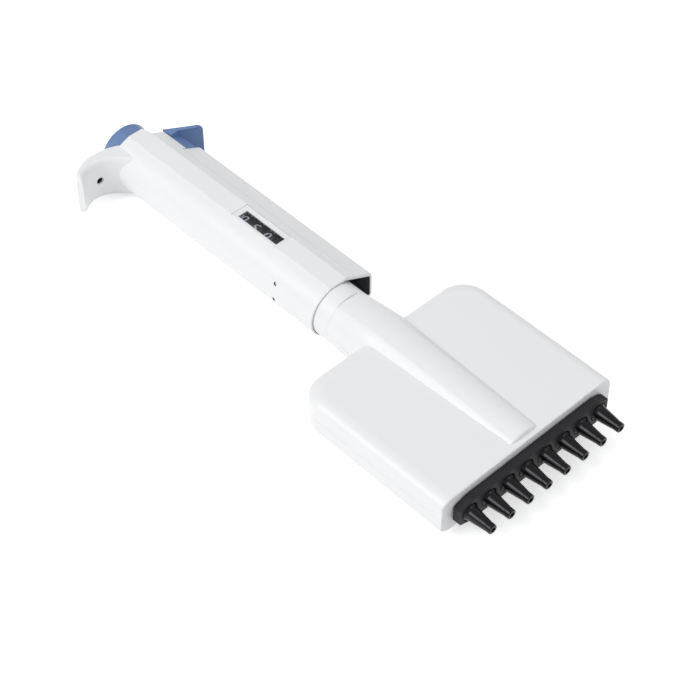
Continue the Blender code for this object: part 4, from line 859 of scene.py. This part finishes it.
def spine_rows():
    """Upper half of the neck and spine: round flanks below a crease and a nearly flat crown between creases.

    The crown is a parabola over the creases, and the front end is rounded on a quarter circle.
    """
    front = HEAD_FRONT - SPINE_SETBACK
    edge = SPINE_END_ROUND
    places = np.concatenate((
        np.linspace(NECK_TOP, HEAD_REAR, 14),
        np.linspace(HEAD_REAR, front - edge, 40)[1:],
        front - edge * (1.0 - np.sin(np.linspace(0.2, 1.0, 5) * 0.5 * math.pi)),
    ))
    rows = []
    for x in places:
        if x < HEAD_REAR:
            radius = NECK_R + (SPINE_R - NECK_R) * (x - NECK_TOP) / (HEAD_REAR - NECK_TOP)
        else:
            radius = SPINE_R + (SPINE_FRONT_R - SPINE_R) * (x - HEAD_REAR) / (front - HEAD_REAR)
        left = np.clip((front - x) / edge, 0.0, 1.0)
        radius -= edge * (1.0 - math.sqrt(1.0 - (1.0 - left) ** 2))
        blend = np.clip((x - HEAD_REAR) / (front - HEAD_REAR), 0.0, 1.0)
        crease = math.degrees(math.asin(SPINE_FLAT / radius))
        flank = arc((0.0, 0.0), radius, 0.0, 90.0 - crease, 26)
        edge_y, edge_z = flank[-1]
        rise = 0.9 * (SPINE_FLAT_DROP + (radius - edge_z - SPINE_FLAT_DROP) * blend)
        share = np.linspace(-1.0, 1.0, 15)[1:-1]
        crown = np.column_stack((-share * edge_y, edge_z + rise * (1.0 - share ** 2)))
        section = np.vstack((flank, crown, flank[::-1] * (-1.0, 1.0)))
        section[:, 1] = np.maximum(section[:, 1], HEAD_PARTING)
        rows.append(np.column_stack((np.full(len(section), x), section[:, 0], section[:, 1] + AXIS_Z)))
    return np.stack(rows)


def head_half(name, upper, node):
    """One half shell: its plan drawn in on a quarter ellipse up to a flat top, with neck, spine and spigot.

    The lower half is the upper one turned over about the pipette's axis, with its screw holes.
    """
    rows = []
    turn = np.radians(np.linspace(0.0, 90.0, 14))
    heights = [HEAD_PARTING, *(HEAD_HALF_THICKNESS - HEAD_EDGE_DROP * (1.0 - np.sin(turn)))]
    insets = [0.0, *(HEAD_EDGE_WIDTH * (1.0 - np.cos(turn)))]
    for height, drawn_in in zip(heights, insets):
        plan = head_plan(drawn_in)
        rows.append(np.column_stack((plan, np.full(len(plan), height + AXIS_Z))))
    mesh = surface("half", np.stack(rows))
    shape = bmesh.new()
    shape.from_mesh(mesh)
    rim = [edge for edge in shape.edges if len(edge.link_faces) == 2
           and sum(face.normal.x > 0.99 for face in edge.link_faces) == 1
           and min(v.co.z for v in edge.verts) > AXIS_Z + HEAD_PARTING + 0.0001]
    bmesh.ops.bevel(shape, geom=rim, offset=0.0006, segments=4, profile=0.5, affect="EDGES")
    shape.to_mesh(mesh)
    shape.free()
    mesh = combine(mesh, surface("spine", spine_rows()), "UNION")
    spigot = rod("spigot", SPIGOT_TOP, NECK_TOP + 0.002, SPIGOT_R)
    spigot = cut(spigot, block("lower", (-1.0, -FAR, -FAR), (1.0, FAR, HEAD_PARTING)))
    mesh = combine(mesh, spigot, "UNION")
    cavity_half = HEAD_HALF_WIDTH - HEAD_SIDE_WALL
    cavity_top = HEAD_HALF_THICKNESS - HEAD_WALL
    slot_half, slot_top = bar_size()
    slot_half -= SLOT_LIP
    slot_top -= 0.5 * SLOT_LIP
    slot = np.array([(-slot_half, -0.01), (slot_half, -0.01), (slot_half, BAR_END_HALF),
                     (slot_half - BAR_CORNER, slot_top), (-slot_half + BAR_CORNER, slot_top),
                     (-slot_half, BAR_END_HALF)])
    inner_r = HEAD_CORNER_R - HEAD_WALL
    room = rounded([(HEAD_REAR + HEAD_WALL, -cavity_half), (HEAD_FRONT - HEAD_WALL, -cavity_half),
                    (HEAD_FRONT - HEAD_WALL, cavity_half), (HEAD_REAR + HEAD_WALL, cavity_half)],
                   [inner_r, 0.0, 0.0, inner_r])
    mesh = cut(
        mesh,
        upright("room", room, -0.01, cavity_top),
        rod("bore", SPIGOT_TOP - 0.01, HEAD_REAR + 0.006, SPIGOT_BORE_R),
        prism("slot", slot, HEAD_FRONT - 0.01, HEAD_FRONT + 0.01),
    )
    if not upper:
        mesh.transform(Matrix.Translation((0.0, 0.0, AXIS_Z)) @ Matrix.Rotation(math.pi, 4, "X")
                       @ Matrix.Translation((0.0, 0.0, -AXIS_Z)))
        for i in range(4):
            low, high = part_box("head_screw_%d" % (i + 1))
            centre = (0.5 * (low + high))[:2]
            screw_way = arc(centre, SCREW_WAY_R, 0.0, 345.0, 23)
            shank_way = arc(centre, SCREW_SHANK_R, 0.0, 345.0, 23)
            mesh = cut(mesh, upright("screw_way", screw_way, -0.02, -SCREW_SEAT),
                       upright("shank_way", shank_way, -0.005, 0.001))
    finished(name, mesh, WHITE, "head", [node])


def bar_size():
    """Half width and half height of the ejector bar."""
    low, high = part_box("ejector_bar")
    return high[1], high[2] - AXIS_Z


def channel_places():
    """Places of the channels along Y, a pitch apart about the middle."""
    return [(i - 0.5 * (CHANNELS - 1)) * PITCH for i in range(CHANNELS)]


def nozzles():
    """Eight tip cones: a turned profile with a grooved end, a long taper and a collar in the bar's hole."""
    tip = 0.00185
    base = 0.0028
    bore = 0.00085
    collar = base + 0.0005
    flange = 0.0034
    stub = 0.0026
    end_round = arc((TIP_X - 0.00035, tip - 0.00035), 0.00035, 0.0, 90.0, 5)
    shoulder_x = HEAD_FRONT + 0.0004
    flange_x = HEAD_FRONT - HEAD_WALL - GAP - 0.0003
    stub_x = HEAD_FRONT - HEAD_WALL - 0.006
    profile = [(TIP_X - 0.0006, bore), (TIP_X, 0.0010), *end_round, (TIP_X - 0.0019, tip + 0.00006),
               (TIP_X - 0.0020, tip - 0.00006), (TIP_X - 0.0023, tip - 0.00006),
               (TIP_X - 0.0024, tip + 0.00008), (BAR_FRONT + 0.0012, base - 0.00005),
               (BAR_FRONT + 0.0006, base + 0.00006), (BAR_FRONT + 0.0002, base + 0.00028),
               (BAR_FRONT, collar), (shoulder_x, collar), (shoulder_x, flange), (flange_x, flange),
               (flange_x, stub), (stub_x, stub), (stub_x, bore)]
    for i, y in enumerate(channel_places()):
        name = "nozzle_%d" % (i + 1)
        mesh = turned(name, profile, y)
        finished(name + "_cone", mesh, BLACK, "head", [name], 22.0)


def ejector_bar():
    """Bar: a long octagon with rounded edges and eight holes with a small chamfer."""
    half, tall = bar_size()
    end = BAR_END_HALF
    corner = BAR_CORNER
    corners = [(half, -end), (half, end), (half - corner, tall), (-half + corner, tall),
               (-half, end), (-half, -end), (-half + corner, -tall), (half - corner, -tall)]
    outline = rounded(corners, [0.0004] * 8, 12.0)
    mesh = prism("bar", outline, BAR_REAR, BAR_FRONT, 0.0002, 0.0002)
    hole = 0.0035
    wide = hole + 0.00035
    profile = [(BAR_REAR - 0.001, hole), (BAR_FRONT - 0.00025, hole), (BAR_FRONT + 0.0001, wide),
               (BAR_FRONT + 0.001, wide)]
    for y in channel_places():
        mesh = cut(mesh, turned("hole", profile, y, 56, False))
    finished("ejector_bar_moulding", mesh, BAR, "ejector_foot", ["ejector_bar"])


# Counter

def number_wheels():
    """Number wheels with their digits, and the blank ring."""
    for name, body, shown in (("units_wheel", "units_wheel", 0), ("tens_wheel", "tens_wheel", 5),
                              ("hundreds_wheel", "hundreds_wheel", 0), ("blank_ring", "handle", None)):
        low, high = span(name, 0)
        edge = 0.00018
        left = arc((low + edge, WHEEL_R - edge), edge, 180.0, 90.0, 3)
        right = arc((high - edge, WHEEL_R - edge), edge, 90.0, 0.0, 3)
        hub = 0.0063
        wall = 0.0012
        pocket = high - 0.0016
        profile = [(low, hub), *left, *right, (high, WHEEL_R - wall), (pocket, WHEEL_R - wall),
                   (pocket, hub + wall), (high, hub + wall), (high, hub)]
        mesh = turned(name, profile, sides=120)
        finished(name + "_drum", mesh, WHEEL, body, [name], 25.0)
        if shown is None:
            continue
        digits = wheel_digits(0.5 * (low + high), shown)
        finished(name + "_digits", digits, DIGIT, body, (), 40.0)


def wheel_digits(middle, shown):
    """Ten digits round a drum, with the shown one on top.

    A flat digit's point (u, v) goes to the angle v / WHEEL_R - DIGIT_LEAN from the top, with its foot towards
    +Y, and each next digit stands a tenth of a turn further on.
    """
    shape = bmesh.new()
    for digit in range(10):
        flat = flat_digit(str(digit))
        u, v, lift = flat[0].T
        turn = v / WHEEL_R - DIGIT_LEAN + (digit - shown) * math.radians(36.0)
        radius = WHEEL_R - 0.0001 + lift
        points = np.column_stack((middle - u, -radius * np.sin(turn), AXIS_Z + radius * np.cos(turn)))
        made = [shape.verts.new(point) for point in points]
        for face in flat[1]:
            shape.faces.new([made[k] for k in face])
    bmesh.ops.recalc_face_normals(shape, faces=shape.faces)
    mesh = bpy.data.meshes.new("digits")
    shape.to_mesh(mesh)
    shape.free()
    return mesh


def flat_digit(text):
    """One digit as points (u, v, lift) and faces, centred, with long faces split so that it can bend."""
    curve = bpy.data.curves.new("digit", "FONT")
    curve.body = text
    curve.extrude = 0.03
    curve.resolution_u = 5
    drawn = bpy.data.objects.new("digit", curve)
    bpy.context.scene.collection.objects.link(drawn)
    bpy.context.view_layer.update()
    mesh = bpy.data.meshes.new_from_object(drawn.evaluated_get(bpy.context.evaluated_depsgraph_get()))
    bpy.data.objects.remove(drawn, do_unlink=True)
    shape = bmesh.new()
    shape.from_mesh(mesh)
    bmesh.ops.remove_doubles(shape, verts=shape.verts, dist=1e-4)
    bmesh.ops.triangulate(shape, faces=shape.faces)
    for _ in range(2):
        long_edges = [edge for edge in shape.edges if edge.calc_length() > 0.16]
        bmesh.ops.subdivide_edges(shape, edges=long_edges, cuts=1)
        bmesh.ops.triangulate(shape, faces=shape.faces)
    shape.verts.index_update()
    points = np.array([v.co for v in shape.verts])
    faces = [[v.index for v in face.verts] for face in shape.faces]
    shape.free()
    size = points[:, 1].max() - points[:, 1].min()
    scale = DIGIT_HEIGHT / size
    points[:, 0] -= 0.5 * (points[:, 0].max() + points[:, 0].min())
    points[:, 1] -= 0.5 * (points[:, 1].max() + points[:, 1].min())
    lift = np.where(points[:, 2] > 0.0, DIGIT_RELIEF, 0.0)
    return np.column_stack((points[:, 0] * scale * DIGIT_SLIMNESS, points[:, 1] * scale, lift)), faces


def dress_inner_parts():
    """Better materials on the parts that keep their own solids."""
    finishes = {
        "steel": STEEL,
        "brass": BRASS,
        "grey_plastic": GREY,
        "blue_plastic": BLUE,
        "white_plastic": WHITE,
        "clear_plastic": CLEAR,
        "wheel_plastic": WHEEL,
        "dark_bar_plastic": BAR,
        "black_plastic": BLACK,
    }
    for part in frame["record"]["subparts"]:
        node = NODES[part["node"]]
        finish = finishes[part["material_slot"]]
        if not node.material_slots:
            node.data.materials.append(finish)
        for place in node.material_slots:
            place.material = finish


# Floor, light and camera

def floor():
    """A wide pale floor whose colour reads white to the camera, to gloss and to clear plastic."""
    material = bpy.data.materials.new("pale_floor")
    material.use_nodes = True
    tree = material.node_tree
    shader = tree.nodes["Principled BSDF"]
    shader.inputs["Base Color"].default_value = (0.93, 0.93, 0.93, 1.0)
    shader.inputs["Roughness"].default_value = 0.9
    shader.inputs["Specular IOR Level"].default_value = 0.1
    path = tree.nodes.new("ShaderNodeLightPath")
    seen = math_node(tree, "MAXIMUM", path.outputs["Is Camera Ray"], path.outputs["Is Glossy Ray"])
    seen = math_node(tree, "MAXIMUM", seen, path.outputs["Is Transmission Ray"])
    glow = math_node(tree, "MULTIPLY", seen, 0.47)
    shader.inputs["Emission Color"].default_value = (1.0, 1.0, 1.0, 1.0)
    tree.links.new(glow, shader.inputs["Emission Strength"])
    size = 6.0
    grid = np.array([[(-size, -size, 0.0), (size, -size, 0.0)], [(-size, size, 0.0), (size, size, 0.0)]])
    mesh = bpy.data.meshes.new("floor")
    mesh.from_pydata(grid.reshape(-1, 3), [], [(0, 1, 3, 2)])
    mesh.materials.append(material)
    made = bpy.data.objects.new("floor", mesh)
    bpy.context.scene.collection.objects.link(made)


def lamp(name, place, target, size, power):
    """A square soft light that looks at a point."""
    light = bpy.data.lights.new(name, "AREA")
    light.size = size
    light.energy = power
    made = bpy.data.objects.new(name, light)
    bpy.context.scene.collection.objects.link(made)
    look = np.asarray(target, float) - np.asarray(place, float)
    look /= np.linalg.norm(look)
    side = np.cross(look, (0.0, 0.0, 1.0))
    side /= np.linalg.norm(side)
    up = np.cross(side, look)
    turn = Matrix((side, up, -look)).transposed().to_4x4()
    made.matrix_world = Matrix.Translation(place) @ turn


def studio():
    """A pale world and two large lamps, one in front on the hook's side and one weak from the far side."""
    world = bpy.data.worlds.new("studio")
    world.use_nodes = True
    sky = world.node_tree.nodes["Background"]
    sky.inputs["Color"].default_value = (0.97, 0.985, 1.0, 1.0)
    sky.inputs["Strength"].default_value = 0.54
    bpy.context.scene.world = world
    lamp("soft_key", (-0.35, -1.1, 1.1), (0.0, 0.0, 0.0), 0.9, 12.0)
    lamp("soft_fill", (0.7, 0.6, 1.4), (0.0, 0.0, 0.0), 1.0, 4.2)
    bpy.context.scene.view_settings.view_transform = "Standard"


def camera():
    """The matched camera: it looks along (sin a cos e, cos a cos e, -sin e)."""
    azimuth = math.radians(-CAMERA_AZIMUTH)
    elevation = math.radians(CAMERA_ELEVATION)
    roll = math.radians(CAMERA_ROLL)
    look = np.array((math.sin(azimuth) * math.cos(elevation), math.cos(azimuth) * math.cos(elevation),
                     -math.sin(elevation)))
    right = np.array((math.cos(azimuth), -math.sin(azimuth), 0.0))
    up = np.cross(right, look)
    side = math.cos(roll) * right + math.sin(roll) * up
    top = -math.sin(roll) * right + math.cos(roll) * up
    data = bpy.data.cameras.new("matched_camera")
    data.lens = LENS
    data.sensor_width = SENSOR
    made = bpy.data.objects.new("matched_camera", data)
    bpy.context.scene.collection.objects.link(made)
    turn = Matrix((side, top, -look)).transposed().to_4x4()
    made.matrix_world = Matrix.Translation(CAMERA_PLACE) @ turn
    bpy.context.scene.camera = made


dress_inner_parts()
handle_body()
rear_cover()
hook_badge()
window_frame()
swivel_collar()
plunger_button()
ejector_lever()
head_half("head_upper_moulding", True, "head_upper_shell")
head_half("head_lower_moulding", False, "head_lower_shell")
nozzles()
ejector_bar()
number_wheels()
floor()
studio()
camera()
